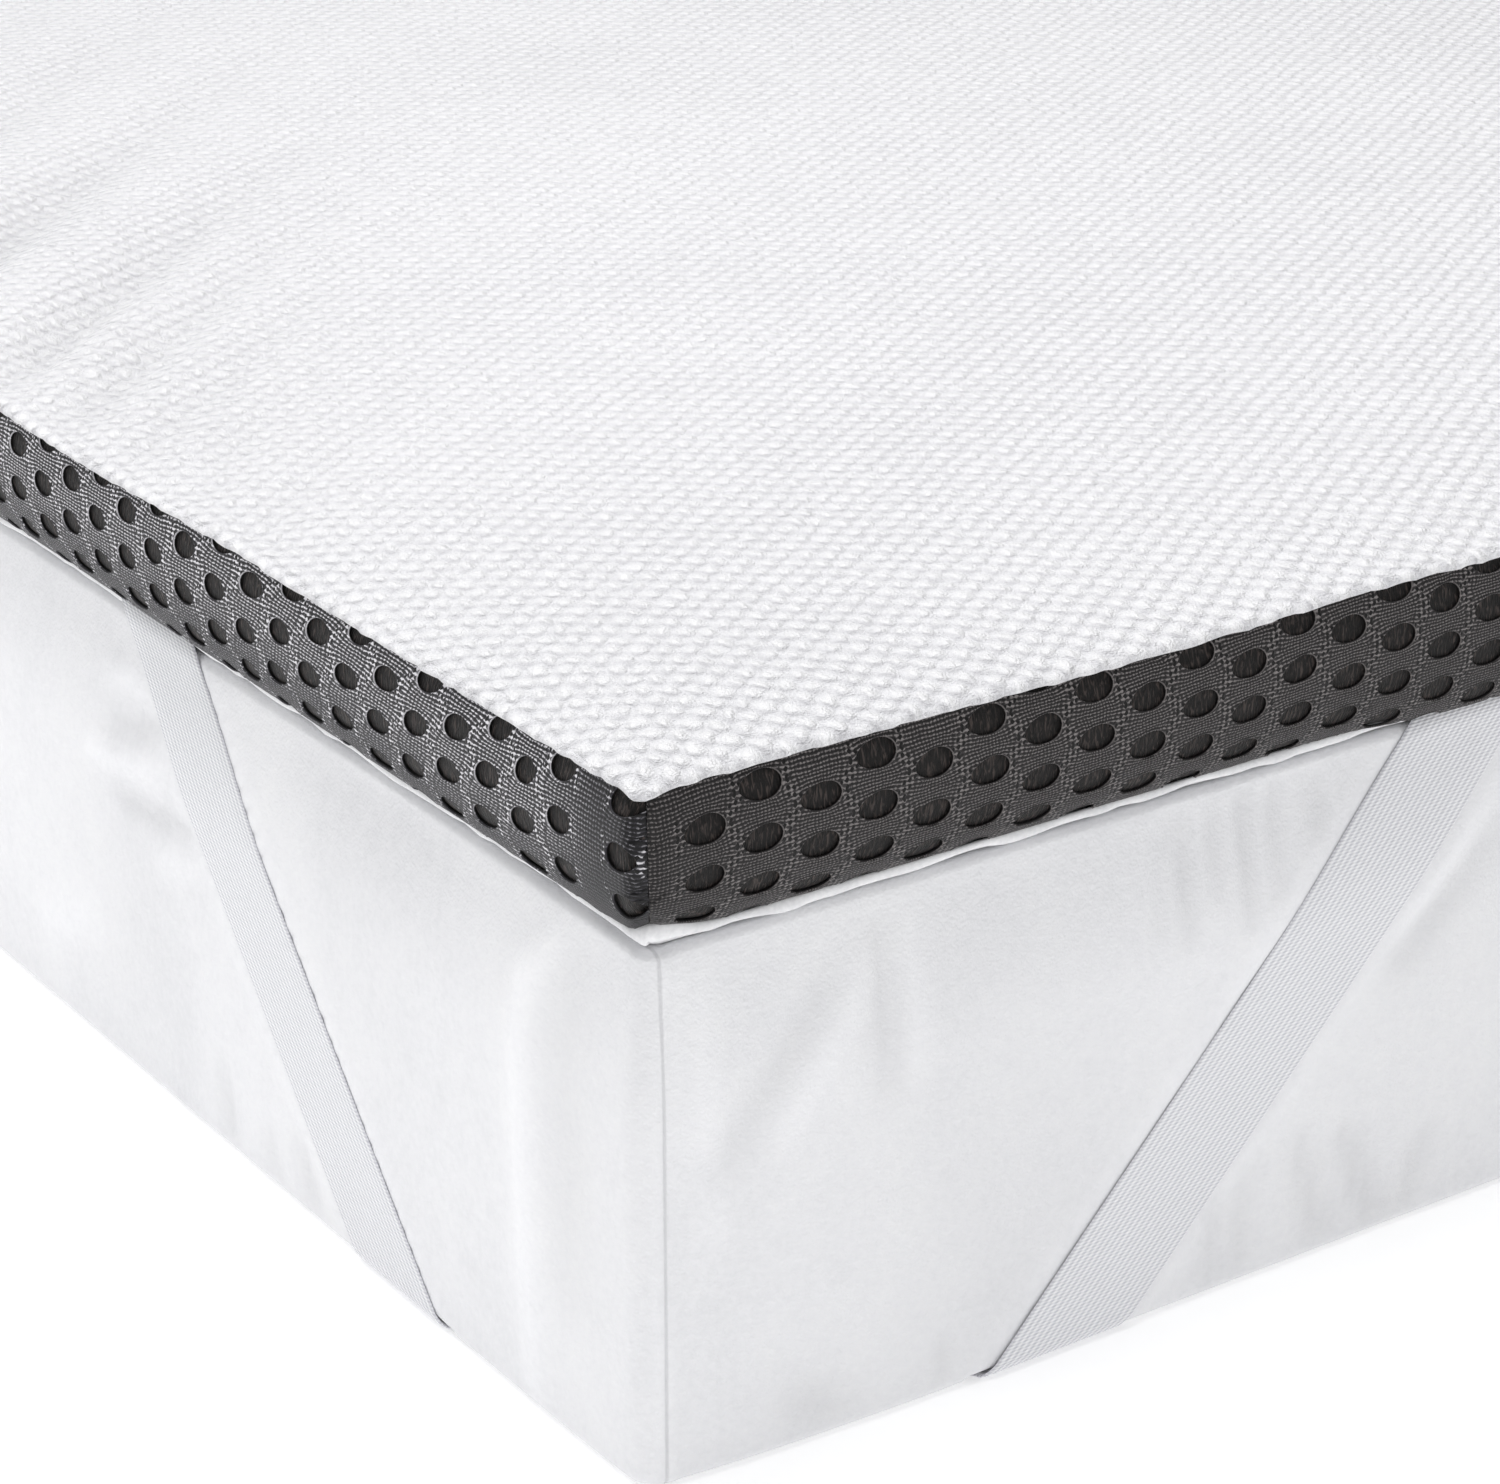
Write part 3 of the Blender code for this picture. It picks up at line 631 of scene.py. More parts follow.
stations = rim_run(LIP_STEP, LIP_CORNER)
x, y, in_x, in_y, side, along, near = stations.T
lip_wave = sum(height * soft_noise(run_round(x, y), pitch, seed) for height, pitch, seed in LIP_BUMPS)
lip_lift = LIP_LIFT * bell(near, np.where(side % 2 == 0, *LIP_LIFT_REACH))
lip_foot = BOTTOM_SEAM_Z - LIP_DROP - LIP_RADIUS + LIP_FOOT_RISE * bell(near, LIP_LIFT_REACH[0])
lip_tuck = LIP_TUCK * (1 - bell(near, LIP_TUCK_REACH))
lip_half = (BOTTOM_SEAM_Z + LIP_OVERLAP + lip_lift - lip_foot) / 2
sections = [(inset, PANEL_FLOOR, 0.0) for inset in (PANEL_RING, LIP_INSET + LIP_RUN)]
for angle in np.linspace(0, math.pi, 9):
    sections.append((
        LIP_INSET - LIP_RADIUS * math.sin(angle), lip_foot + lip_half * (1 - math.cos(angle)),
        math.cos(angle / 2),
    ))
sections += [
    (inset, PANEL_FLOOR + PANEL_THICKNESS, 0.0) for inset in (LIP_INSET + LIP_RUN, PANEL_RING)
]
rings = []
for inset, height, share in sections:
    rings.append(np.column_stack([
        x + (inset + lip_tuck) * in_x, y + inset * in_y, height + share * lip_wave
    ]))
around = len(stations)
faces = closed_ring_faces(len(rings), around)
faces.append(tuple(reversed(range(around))))
faces.append(tuple(range((len(rings) - 1) * around, len(rings) * around)))

lining, tree = new_cloth("white_lining", 0.8, 0.1)
patches = mottled(add_node(tree, "ShaderNodeTexCoord", output="Object"), 60.0)
tone = colour_ramp(patches, ((0.35, (0.70, 0.70, 0.715)), (0.65, (0.86, 0.86, 0.868))))
finish_cloth(tree, tone, patches, strength=0.5, distance=0.001)

topper_lining = mesh_object("topper_lining", np.concatenate(rings), faces, lining)
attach(topper_lining, "root")
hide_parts("bottom_panel")

# ---- the topper's padded top ----
# A white bubble knit over the topper's filling, sewn down over the border's top edge. The
# left side is drawn into soft puckers that run inwards, aslant towards the back.

BORDER_HEIGHT = 0.055
CROWN = 0.0060
CROWN_REACH = 0.035
TOP_WAVES = ((0.0007, 0.310, 0.06), (0.0004, 0.190, 0.11))  # height, length, shift
WAVE_SIDE_SHIFT = 0.047  # from each side to the next
WAVE_START = 0.060
CORNER_DIP, CORNER_DIP_REACH = 0.0020, (0.014, 0.006)  # on short and on long sides
PUCKERS = (  # along, depth, half_width, reach
    (0.262, 0.0021, 0.016, 0.045),
    (0.318, 0.0030, 0.016, 0.050),
    (0.366, 0.0048, 0.016, 0.055),
    (0.424, 0.0075, 0.018, 0.060),
    (0.490, 0.0102, 0.020, 0.065),
    (0.602, 0.0108, 0.025, 0.070),
    (0.718, 0.0084, 0.028, 0.075),
    (0.826, 0.0054, 0.028, 0.080),
)
PUCKER_SLANT = 0.9
PUCKER_SHADE, FULL_PUCKER = 0.13, 0.0100  # how much darker a hollow of that depth is
SLOW_SWELL, SWELL_EDGE = 0.0005, 0.08
SHOULDER_INSET, SHOULDER_RISE = 0.0065, 0.0031
PAD_CORNER, PAD_STEP = 0.004, 0.0035
RIM_BUMP_PITCH, RIM_BUMP_DEPTH, RIM_BUMP_HEIGHT = 0.0052, 0.0004, 0.0003
RIM_SECTIONS = (  # inset, rise above the border's top edge, share of the bumps
    (0.0205, -0.0574, 0.0),
    (0.0175, -0.0542, 0.0),
    (0.0105, -0.0450, 0.0),
    (0.0062, -0.0340, 0.0),
    (0.0045, -0.0210, 0.0),
    (0.0055, -0.0100, 0.0),
    (0.0095, -0.0030, 0.0),
    (0.0070, -0.0008, 0.2),
    (0.0045, -0.0004, 0.6),
    (0.0033, -0.0002, 1.0),
    (0.0031, 0.0008, 1.0),
    (0.0036, 0.0018, 0.8),
    (0.0048, 0.0027, 0.5),
    (0.0065, 0.0033, 0.2),
)
WAVE_FADE = 0.020  # the rim's waves die away this far below the border's top edge
TOP_GRID, TOP_GRID_INSET = 0.0114, 0.016


def seam_wave(waves, along, near, side):
    """How far a seam waves up or out along a side, level at the corners."""
    total = 0.0
    for height, length, shift in waves:
        turn = 2 * math.pi * (along + shift + WAVE_SIDE_SHIFT * side) / length
        total = total + height * np.sin(turn)
    return np.minimum(1.0, near / WAVE_START) ** 2 * total


def top_seam_lift(along, near, side):
    """How far the border's top seam is lifted, with its dip at each corner."""
    reach = np.where(side % 2 == 0, *CORNER_DIP_REACH)
    return seam_wave(TOP_WAVES, along, near, side) - CORNER_DIP * bell(near, reach)


def pucker_depth(x, y):
    """How far the puckers draw the top in."""
    from_left = np.maximum(0.0, x + HALF_WIDTH - SHOULDER_INSET)
    from_front = y + HALF_LENGTH - SHOULDER_INSET
    total = np.zeros_like(from_left)
    for along, depth, half_width, reach in PUCKERS:
        offset = from_front - PUCKER_SLANT * from_left - along
        share = from_left / reach
        total += depth * share * np.exp(1 - share) * bell(offset, half_width)
    return total


def top_height(x, y):
    """The crowned top with its puckers, above the rim's shoulder."""
    rim_x, rim_y = HALF_WIDTH - SHOULDER_INSET, HALF_LENGTH - SHOULDER_INSET
    edge = np.maximum(0.0, np.minimum(rim_x - np.abs(x), rim_y - np.abs(y)))
    height = CROWN * (1 - np.exp(-edge / CROWN_REACH)) - pucker_depth(x, y)
    # broad swells that cross each other aslant
    slow = SLOW_SWELL * np.sin(9.0 * (x * 1.9 + y) + 0.6) * np.sin(14.0 * (y - 0.6 * x))
    return height + slow * ease(edge / SWELL_EDGE)


stations = rim_run(PAD_STEP, PAD_CORNER)
x, y, in_x, in_y, side, along, near = stations.T
rim_bumps = soft_noise(run_round(x, y), RIM_BUMP_PITCH, seed=11)
lift = top_seam_lift(along, near, side)
rim_z = BOTTOM_SEAM_Z + BORDER_HEIGHT
rings = []
for inset, rise, share in RIM_SECTIONS:
    depth = inset - RIM_BUMP_DEPTH * share * rim_bumps
    rise = rise + lift * np.clip(1 + rise / WAVE_FADE, 0, 1) - RIM_BUMP_HEIGHT * share * rim_bumps
    rings.append(np.column_stack([x + depth * in_x, y + depth * in_y, rim_z + rise]))
around = len(stations)
faces = closed_ring_faces(len(rings), around)
faces.append(tuple(range(around)))
lines_x, lines_y = (
    np.arange(TOP_GRID_INSET - half, half - TOP_GRID_INSET + TOP_GRID / 10, TOP_GRID)
    for half in HALF_SIZE
)
inner = [(x, y) for x in lines_x for y in lines_y]
top = fill_flat(rings[-1], inner, [], lambda x, y: rim_z + SHOULDER_RISE + top_height(x, y))


def swayed(place, tones, reach, middle=0.0):
    """A place moved about a little by coloured noise, as cloth is pulled here and there."""
    def vector(operation, links):
        return add_node(place.tree, "ShaderNodeVectorMath", links, operation=operation)

    off = vector("SUBTRACT", {0: tones, 1: (middle, middle, middle)})
    return vector("ADD", {0: place, 1: vector("SCALE", {0: off, "Scale": reach})})


def wave(value, pitch):
    """A wave over a value, 1 at every pitch."""
    return (value * (2 * math.pi / pitch)).maths("COSINE")


# the bubbles' two ways across the cloth, in bubbles per metre along x and along y
BUBBLE_WAYS = ((76.4, 90.8), (63.7, -101.8))
LIT_SHIFT = (0.20, 0.09)  # in bubbles: a dome's lit side lies a little to the back left

bubble_knit, tree = new_cloth("white_bubble_knit", 0.95, 0.35)
place = add_node(tree, "ShaderNodeTexCoord", output="Object")
# the lattice wanders: whole rows by some 2 mm, and single bubbles by part of their pitch
knit_x, knit_y, _ = swayed(place, noise(place, 45.0, 2.0, "Color"), 0.0042, middle=0.5).parts()
counts = [knit_x * per_x + knit_y * per_y for per_x, per_y in BUBBLE_WAYS]
grid = add_node(tree, "ShaderNodeCombineXYZ", dict(zip("XY", counts)))
row, column, _ = swayed(grid, noise(place, 130.0, 1.0, "Color"), 0.50).parts()
domes = []
for shift_row, shift_column in ((0.0, 0.0), LIT_SHIFT):
    first, second = row + shift_row, column - shift_column
    rise = wave(first, 1) + wave(second, 1) + wave(first + second, 1)
    domes.append((rise + 1.5) * (1 / 4.5))
# painted light and shade: the colour is darker in the creases between the domes, lighter on each
# dome's back left side and darker on its front
facing = domes[0] - domes[1]
fuzz = noise(place, 1100.0, 3.0)
shade = 0.25 * domes[0] + 0.45 * fuzz + 0.45 * facing + 0.30 * mottled(place, 5.0)
tone = colour_ramp(shade, (
    (0.16, (0.68, 0.675, 0.70)), (0.38, (0.855, 0.85, 0.875)), (0.62, (0.975, 0.97, 0.985))
))
# the puckers' hollows gather a little shadow
drawn_in = add_node(tree, "ShaderNodeAttribute", output="Fac", attribute_name="pucker")
tone = lit(tone, 1.02 - PUCKER_SHADE * drawn_in)
finish_cloth(tree, tone, domes[0] + 0.60 * fuzz, strength=1.0, distance=0.0028)

points, faces = joined([(np.concatenate(rings), faces), top])
hollows = pucker_depth(points[:, 0], points[:, 1]) / FULL_PUCKER
topper_top = closed_mesh("topper_top", points, faces, bubble_knit, "pucker", hollows)
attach(topper_top, "root")
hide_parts("topper_pad")

# ---- the border strips ----
# Four strips of charcoal spacer mesh, sewn to each other in an upright seam at each corner.
# The face is knitted with staggered rows of egg-shaped holes, whose bottoms show the dark
# upright pile between the mesh's two faces.

CORNER_RADIUS = 0.007
CORNER_SEAM, CORNER_SEAM_SLOPE = 0.0054, 0.625  # the seam's upright plane: x = place + slope * y
CORNER_SEAM_GAP = 0.00012
SEAM_PINCHES = ((0.0011, 0.0035), (0.0017, 0.0012))  # depth, reach
BOTTOM_WAVES = ((0.0002, 0.270, 0.02), (0.0001, 0.170, 0.05))  # height, length, shift
BULGE_WAVES = ((0.0006, 0.230, 0.03),)
LIFT_LOW, LIFT_LOW_REACH = 0.0045, (0.017, 0.006)  # on short and on long sides
STRIP_ENDS = 0.010  # what the corner seams take off a strip's length
STRAP_PULL_OUT, STRAP_PULL_DOWN, STRAP_PULL_REACH = 0.0035, 0.0020, 0.060
STRAP_AT_SEAM = STRAP_CORNER_REACH + BOTTOM_SEAM_Z * STRAP_LEANS[0]
PILE_DEPTH = 0.0013
SECTION = np.array((  # inset and rise, from under the pad's rim round to the turned-in edge
    (0.0051, 0.0567), (0.0044, 0.0550), (0.0026, 0.0506), (0.0009, 0.0435), (0.0000, 0.0345),
    (0.0003, 0.0255), (0.0019, 0.0165), (0.0050, 0.0083), (0.0086, 0.0030), (0.0118, 0.0000),
    (0.0134, 0.0008), (0.0144, 0.0026),
))
CURVE_STEPS = 12
FACE_TOP, FACE_BOTTOM = -0.0014, 0.0622  # where the face is cut, down its section from the seam
FACE_REACH = 0.066  # the knitted rows reach this far before the cut


def smooth_curve(points):
    """Points along a smooth curve through the given ones."""
    padded = np.vstack([2 * points[0] - points[1], points, 2 * points[-1] - points[-2]])
    share = np.linspace(0, 1, CURVE_STEPS, endpoint=False)[:, None]
    rows = []
    for a, b, c, d in zip(padded, padded[1:], padded[2:], padded[3:]):
        bend = (2 * a - 5 * b + 4 * c - d) * share**2 + (3 * (b - c) + d - a) * share**3
        rows.append(b + 0.5 * ((c - a) * share + bend))
    return np.vstack(rows + [points[-1:]])


curve = smooth_curve(SECTION)
curve_arc = np.concatenate([[0], np.cumsum(np.hypot(*np.diff(curve, axis=0).T))])
curve_arc -= curve_arc[CURVE_STEPS]  # the second point of the section is the top seam
curve_way = np.gradient(curve, axis=0)
curve_way /= np.hypot(curve_way[:, 0], curve_way[:, 1])[:, None]


def round_corner(from_corner, depth):
    """Places round a side's corner: along the side, and how far in, from the sharp corner."""
    angle = np.clip((CORNER_RADIUS - (from_corner - depth)) / CORNER_RADIUS, 0, math.pi / 2)
    straight = np.maximum(from_corner, CORNER_RADIUS + depth)
    return (
        np.where(angle > 0, depth + CORNER_RADIUS * (1 - np.sin(angle)), straight),
        depth + CORNER_RADIUS * (1 - np.cos(angle)),
    )


def strip_places(side, along, arc, out):
    """World places of a strip's flat ones: along the side, down the section, out of the face."""
    is_long = side % 2
    start, way, inward, length = side_frame(side)
    from_corner = np.minimum(along, length - along)
    inset = np.interp(arc, curve_arc, curve[:, 0])
    rise = np.interp(arc, curve_arc, curve[:, 1])
    share = np.clip(rise / BORDER_HEIGHT, 0, 1)
    across, deep = round_corner(from_corner, inset)
    if is_long:
        near = np.abs(CORNER_SEAM - deep + CORNER_SEAM_SLOPE * across)
    else:
        near = np.abs(across - CORNER_SEAM_SLOPE * deep - CORNER_SEAM)
    rise = rise - out * np.interp(arc, curve_arc, curve_way[:, 0])
    depth = inset + out * np.interp(arc, curve_arc, curve_way[:, 1])
    depth += np.abs(np.sin(math.pi * share) * seam_wave(BULGE_WAVES, along, near, side))
    for pinch, reach in SEAM_PINCHES:
        depth += pinch * bell(near, reach)
    lift = share * top_seam_lift(along, near, side)
    lift += (1 - share) * seam_wave(BOTTOM_WAVES, along, near, side)
    low = (1 - share) ** 4
    lift += low * LIFT_LOW * bell(near, LIFT_LOW_REACH[is_long])
    if not is_long:
        pull = low * np.exp(-(((near - STRAP_AT_SEAM) / STRAP_PULL_REACH) ** 4))
        lift -= STRAP_PULL_DOWN * pull
        depth -= STRAP_PULL_OUT * pull
    across, deep = round_corner(from_corner, depth)
    across = np.where(along < length / 2, across, length - across)
    flat = start + across[:, None] * way + deep[:, None] * inward
    return np.column_stack([flat, BOTTOM_SEAM_Z + rise + lift])


# One hole's cell: rings from the bottom of the hole's wall out to the six-sided cell edge.
HOLE_RINGS = (  # distance out from the hole's edge, height
    (0.00005, -0.00090), (0.0, -0.00025), (0.00018, 0.00010), (0.00040, 0.00022),
    (0.00070, 0.00014), (0.00120, 0.00002),
)
LAND_RINGS = ((0.5, 0.00014), (1.0, 0.00010))  # share of the way out to the cell's edge, height
WALL_HEIGHT = -0.0005  # a ring under this is in the hole's wall
CELL_REACH = 0.004  # what a cell's edge counts as in the edge map
NO_CHAIN = 0.010  # how far off a chain the points of a cell without a hole count as
FLOW_BEND = (0.6, 0.72)  # how far the knit bends with a hole, along and across the strip
HOLE_HALF_LENGTH, HOLE_HALF_WIDTH = 0.0079, 0.0048
SIZE_SPREAD, PLACE_SPREAD, TILT_SPREAD = 0.025, 0.0002, 0.03


def hole_cell(pitch, spacing):
    """The outline of a hole's cell: 28 points round, starting at its far tip."""
    tip, flat = pitch / 4 + spacing**2 / pitch, pitch / 4 - spacing**2 / pitch
    corners = np.array((
        (tip, 0), (flat, spacing), (-flat, spacing), (-tip, 0), (-flat, -spacing), (flat, -spacing)
    ))
    outline = []
    for i, steps in enumerate((4, 6, 4, 4, 6, 4)):
        for k in range(steps):
            outline.append(corners[i] + (corners[(i + 1) % 6] - corners[i]) * k / steps)
    return np.array(outline)


def closed_cell(outline):
    """A cell with no hole: its flat points, their heights, flow and distance from a hole."""
    rings = [outline * 0] * len(HOLE_RINGS) + [outline * 0.5, outline]
    local = np.concatenate(rings)
    return (
        local, np.full(len(local), LAND_RINGS[-1][1]), local, np.full(len(local), CELL_REACH)
    )


def open_cell(outline, angle, egg, size, shift, tilt):
    """A cell round its hole, as closed_cell gives it."""
    hole = np.column_stack([
        HOLE_HALF_LENGTH * size[0] * np.cos(angle),
        HOLE_HALF_WIDTH * size[1] * np.sin(angle) * (1 + egg * np.cos(angle)),
    ])
    cosine, sine = math.cos(tilt), math.sin(tilt)
    hole = hole @ np.array(((cosine, sine), (-sine, cosine))) + shift
    reach = np.hypot(hole[:, 0], hole[:, 1])[:, None]
    rings = [hole * (1 + out / reach) for out, _ in HOLE_RINGS]
    rings += [hole + (outline - hole) * share for share, _ in LAND_RINGS]
    land = np.hypot(*(outline - hole).T)
    shares = [out / land for out, _ in HOLE_RINGS]
    shares += [np.full(len(outline), share) for share, _ in LAND_RINGS]
    steps = [out if height > WALL_HEIGHT else 2 * height for out, height in HOLE_RINGS]
    steps += [CELL_REACH * share for share, _ in LAND_RINGS]
    heights = [height for _, height in HOLE_RINGS + LAND_RINGS]
    local, base = np.concatenate(rings), np.tile(outline, (len(rings), 1))
    bend_x, bend_y = FLOW_BEND
    flow = np.column_stack([
        bend_x * local[:, 0] + (1 - bend_x) * base[:, 0],
        bend_y * local[:, 1] + (1 - bend_y) * base[:, 1] * np.concatenate(shares),
    ])
    return local, np.repeat(heights, len(outline)), flow, np.repeat(steps, len(outline))


def knit_face(pitch, spacing, first, length, closed, tilt_at, egg, seed):
    """Flat points, faces and their maps of a strip's knitted face, hole by hole.

    first is where the first hole of the middle row lies, tilt_at gives the holes' tilt along
    the strip, and closed tells which cells have no hole. In the maps, flow goes round the holes,
    chain runs from tip to tip between them, and edge is the distance out from a hole's edge.
    """
    random = np.random.default_rng(seed)
    outline = hole_cell(pitch, spacing)
    angle = np.arctan2(outline[:, 1] / HOLE_HALF_WIDTH, outline[:, 0] / HOLE_HALF_LENGTH)
    chain_run = np.array([pitch / 2 - 2 * HOLE_HALF_LENGTH, spacing])
    chain_run /= np.hypot(*chain_run)
    ring_count = len(HOLE_RINGS) + len(LAND_RINGS)
    cell_faces = np.array(closed_ring_faces(ring_count, len(outline)))
    points, faces, flows, chains, edges = [], [], [], [], []
    for row in range(-2, int(FACE_REACH / spacing) + 3):
        offset = first[0] + (pitch / 2 if row % 2 else 0.0)
        for column in range(-1, int(length / pitch) + 2):
            centre = np.array([offset + column * pitch, first[1] + row * spacing])
            if not -pitch < centre[0] < length + pitch:
                continue
            is_closed = closed(row, column)
            size = (1.0, 1.0) if is_closed else random.normal(1.0, SIZE_SPREAD, 2)
            shift = random.normal(0.0, PLACE_SPREAD, 2)
            tilt = tilt_at(centre[0]) + random.normal(0.0, TILT_SPREAD)
            local, heights, flow, steps = (
                closed_cell(outline) if is_closed
                else open_cell(outline, angle, egg, size, shift, tilt)
            )
            from_tip = np.abs(local) - (HOLE_HALF_LENGTH, 0)
            off_chain = from_tip @ (-chain_run[1], chain_run[0])
            if is_closed:
                off_chain = np.full(len(local), NO_CHAIN)
            faces.append(cell_faces + len(points) * len(local))
            points.append(np.column_stack([local + centre, heights]))
            flows.append(flow + centre)
            chains.append(np.column_stack([from_tip @ chain_run, off_chain]))
            edges.append(np.column_stack([steps, np.tile(np.cos(angle), ring_count) / 100]))
    return [np.concatenate(part) for part in (points, faces, flows, chains, edges)]


def cut_away(shell, spot, facing):
    """Cuts off what lies behind a plane."""
    whole = shell.verts[:] + shell.edges[:] + shell.faces[:]
    bmesh.ops.bisect_plane(shell, geom=whole, plane_co=spot, plane_no=facing, clear_inner=True)


def cut_to_seams(shell, side):
    """Cuts a strip off at the upright planes of the seams at its two ends."""
    start, way, inward, length = side_frame(side)
    for end, corner in ((1, start), (-1, start + way * length)):
        if side % 2:
            spot = corner + inward * (CORNER_SEAM - CORNER_SEAM_GAP)
            facing = end * way * CORNER_SEAM_SLOPE - inward
        else:
            spot = corner + end * way * (CORNER_SEAM + CORNER_SEAM_GAP)
            facing = end * way - inward * CORNER_SEAM_SLOPE
        cut_away(shell, (*spot, 0), Vector((*facing, 0)).normalized())


def bend(shell, new_places):
    """Moves a shell's points to what new_places makes of their x, y and z."""
    places = new_places(*np.array([tuple(vertex.co) for vertex in shell.verts]).T)
    for vertex, place in zip(shell.verts, places):
        vertex.co = place


def wrap_strip(shell, name, side, mirrored, material):
    """Bends a flat strip round the topper's side and makes it an object."""
    length = 2 * HALF_SIZE[side % 2]
    bend(shell, lambda x, y, z: strip_places(side, length - x if mirrored else x, y, z))
    cut_to_seams(shell, side)
    if not mirrored:
        bmesh.ops.reverse_faces(shell, faces=shell.faces[:])
    item = mesh_object(name, [], [], material)
    shell.to_mesh(item.data)
    shell.free()
    item.data.shade_smooth()
    return item


SPARE_END = 0.008  # what a flat face may pass the topper's corner by, before the seams' cut


def build_face(name, side, mirrored, lattice, drift, material):
    """A strip's knitted face with its holes cut through."""
    length = 2 * HALF_SIZE[side % 2]
    points, faces, *maps = knit_face(length=length, **lattice)
    mesh = bpy.data.meshes.new(name)
    mesh.from_pydata(points.tolist(), [], faces.tolist())
    for label, values in zip(("flow", "chain", "edge"), maps):
        layer = mesh.uv_layers.new(name=label)
        layer.data.foreach_set("uv", (values[faces.ravel()] * 100).astype(np.float32).ravel())
    shell = bmesh.new()
    shell.from_mesh(mesh)
    bpy.data.meshes.remove(mesh)
    bmesh.ops.remove_doubles(shell, verts=shell.verts, dist=2e-6)
    bmesh.ops.dissolve_degenerate(shell, edges=shell.edges, dist=1e-7)
    bend(shell, lambda x, y, z: np.column_stack([*drift(x, y), z]))
    cut_away(shell, (0, FACE_TOP, 0), (0, 1, 0))
    cut_away(shell, (0, FACE_BOTTOM, 0), (0, -1, 0))
    stray = [v for v in shell.verts if not -SPARE_END < v.co.x < length + SPARE_END]
    bmesh.ops.delete(shell, geom=stray, context="VERTS")
    return wrap_strip(shell, name, side, mirrored, material)


PILE_SPARE, PILE_BEND, PILE_STEP = 0.005, 0.015, 0.006  # past and before a corner, and between


def build_pile(name, side, mirrored, material):
    """The dark pile behind a strip's face, seen through its holes."""
    length = 2 * HALF_SIZE[side % 2]
    columns = np.concatenate([
        np.linspace(-PILE_SPARE, PILE_BEND, 11)[:-1],
        np.linspace(PILE_BEND, length - PILE_BEND, int(length / PILE_STEP)),
        np.linspace(length - PILE_BEND, length + PILE_SPARE, 11)[1:],
    ])
    rows = np.linspace(FACE_TOP, FACE_BOTTOM, 15)
    shell = bmesh.new()
    flow = shell.loops.layers.uv.new("flow")
    grid = [[shell.verts.new((u, v, -PILE_DEPTH)) for v in rows] for u in columns]
    for left, right in zip(grid, grid[1:]):
        for k in range(len(rows) - 1):
            face = shell.faces.new((left[k], right[k], right[k + 1], left[k + 1]))
            for loop in face.loops:
                loop[flow].uv = loop.vert.co.xy * 100
    return wrap_strip(shell, name, side, mirrored, material)


PIN_PITCH, PIN_ROWS = 0.37, 0.30  # along and across a chain; these and the maps are in cm
CHAIN_START = -0.10  # where a chain's pinholes start, from a hole's tip
PAINTED_SHADE_END, PAINTED_SHADE_FOOT = (1.0, 6.0), (2.6, 5.0)  # the face is painted darker towards its first end and its foot, as painted shade


# knit loops in courses that flow round the holes, with pinholes between the holes' tips
holed_knit = bpy.data.node_groups.new("holed_knit", "ShaderNodeTree")
KNIT_MAPS = ("Flow", "Chain", "Edge")
for label in KNIT_MAPS:
    holed_knit.interface.new_socket(label, in_out="INPUT", socket_type="NodeSocketVector")
for label in ("Loops per cm", "Courses per cm", "End Shade"):
    holed_knit.interface.new_socket(label, in_out="INPUT", socket_type="NodeSocketFloat")
for label in ("Shade", "Relief"):
    holed_knit.interface.new_socket(label, in_out="OUTPUT", socket_type="NodeSocketFloat")
flow, chain, edge, loop_count, course_count, end_shade, *_ = [
    Wire(socket) for socket in holed_knit.nodes.new("NodeGroupInput").outputs
]
# loops in courses and wales, a little uneven
along, down, _ = swayed(flow, noise(flow, 2.2, 1.0, "Color"), 0.10).parts()
loops = wave(down * course_count, 1) + 0.45 * wave(along * loop_count, 1)
loops = loops + ranged(noise(flow, 16.0, 1.0), 0.3, 0.7, -0.7, 0.7)
thread = ranged(loops, -0.5, 1.3, 0.32, 1.0)
# rows of pinholes, and the paler thread between them, in a band from tip to tip
from_tip, off_chain, _ = chain.parts()
aside = abs(off_chain)
pins = ranged(wave(from_tip, PIN_PITCH) * wave(off_chain, PIN_ROWS), 0.08, 0.34)
pins = pins * ranged(aside, 0.17, 0.22, 1.0, 0.0) * ranged(from_tip, CHAIN_START, 0.0)
between = ranged(aside, 0.17, 0.24, 0.28, 0.0) * ranged(from_tip, CHAIN_START, 0.0)
# a bright rim round the hole, above its wall, which is painted dark as painted shade
outwards, facing, _ = edge.parts()
rim = ranged(outwards, 0.026, 0.044, 1.0, 0.0) * ranged(facing, -0.6, 1.0, 0.4, 0.9)
relief = ((thread + between) * (1.0 - pins)).maths("MAXIMUM", rim)
# painted shade: the hole's wall is painted down to a tenth of the thread's tone
shade = relief * ranged(outwards, -0.05, 0.0, 0.10, 1.0)
# painted shade: darker towards the strip's first end and its turned-under foot, down to end_shade
# there
painted_shade = ranged(along, *PAINTED_SHADE_END, end_shade, 1.0) * ranged(down, *PAINTED_SHADE_FOOT, 1.0, end_shade)
results = holed_knit.nodes.new("NodeGroupOutput").inputs
holed_knit.links.new((shade * painted_shade).socket, results["Shade"])
holed_knit.links.new(relief.socket, results["Relief"])


def knit_cloth(name, loop_width, course_height, end_shade, tones):
    """The holed knit with its own loops, in centimetres, and its own tones."""
    cloth, tree = new_cloth(name, 0.5, 0.04)
    links = {label: add_node(tree, "ShaderNodeUVMap", uv_map=label.lower()) for label in KNIT_MAPS}
    links["Loops per cm"] = 1 / loop_width
    links["Courses per cm"] = 1 / course_height
    links["End Shade"] = end_shade
    knit = add_node(tree, "ShaderNodeGroup", links, "Shade", node_tree=holed_knit)
    relief = Wire(knit.socket.node.outputs["Relief"])
    finish_cloth(tree, colour_ramp(knit, tones), relief, strength=1.0, distance=0.0004)
    return cloth
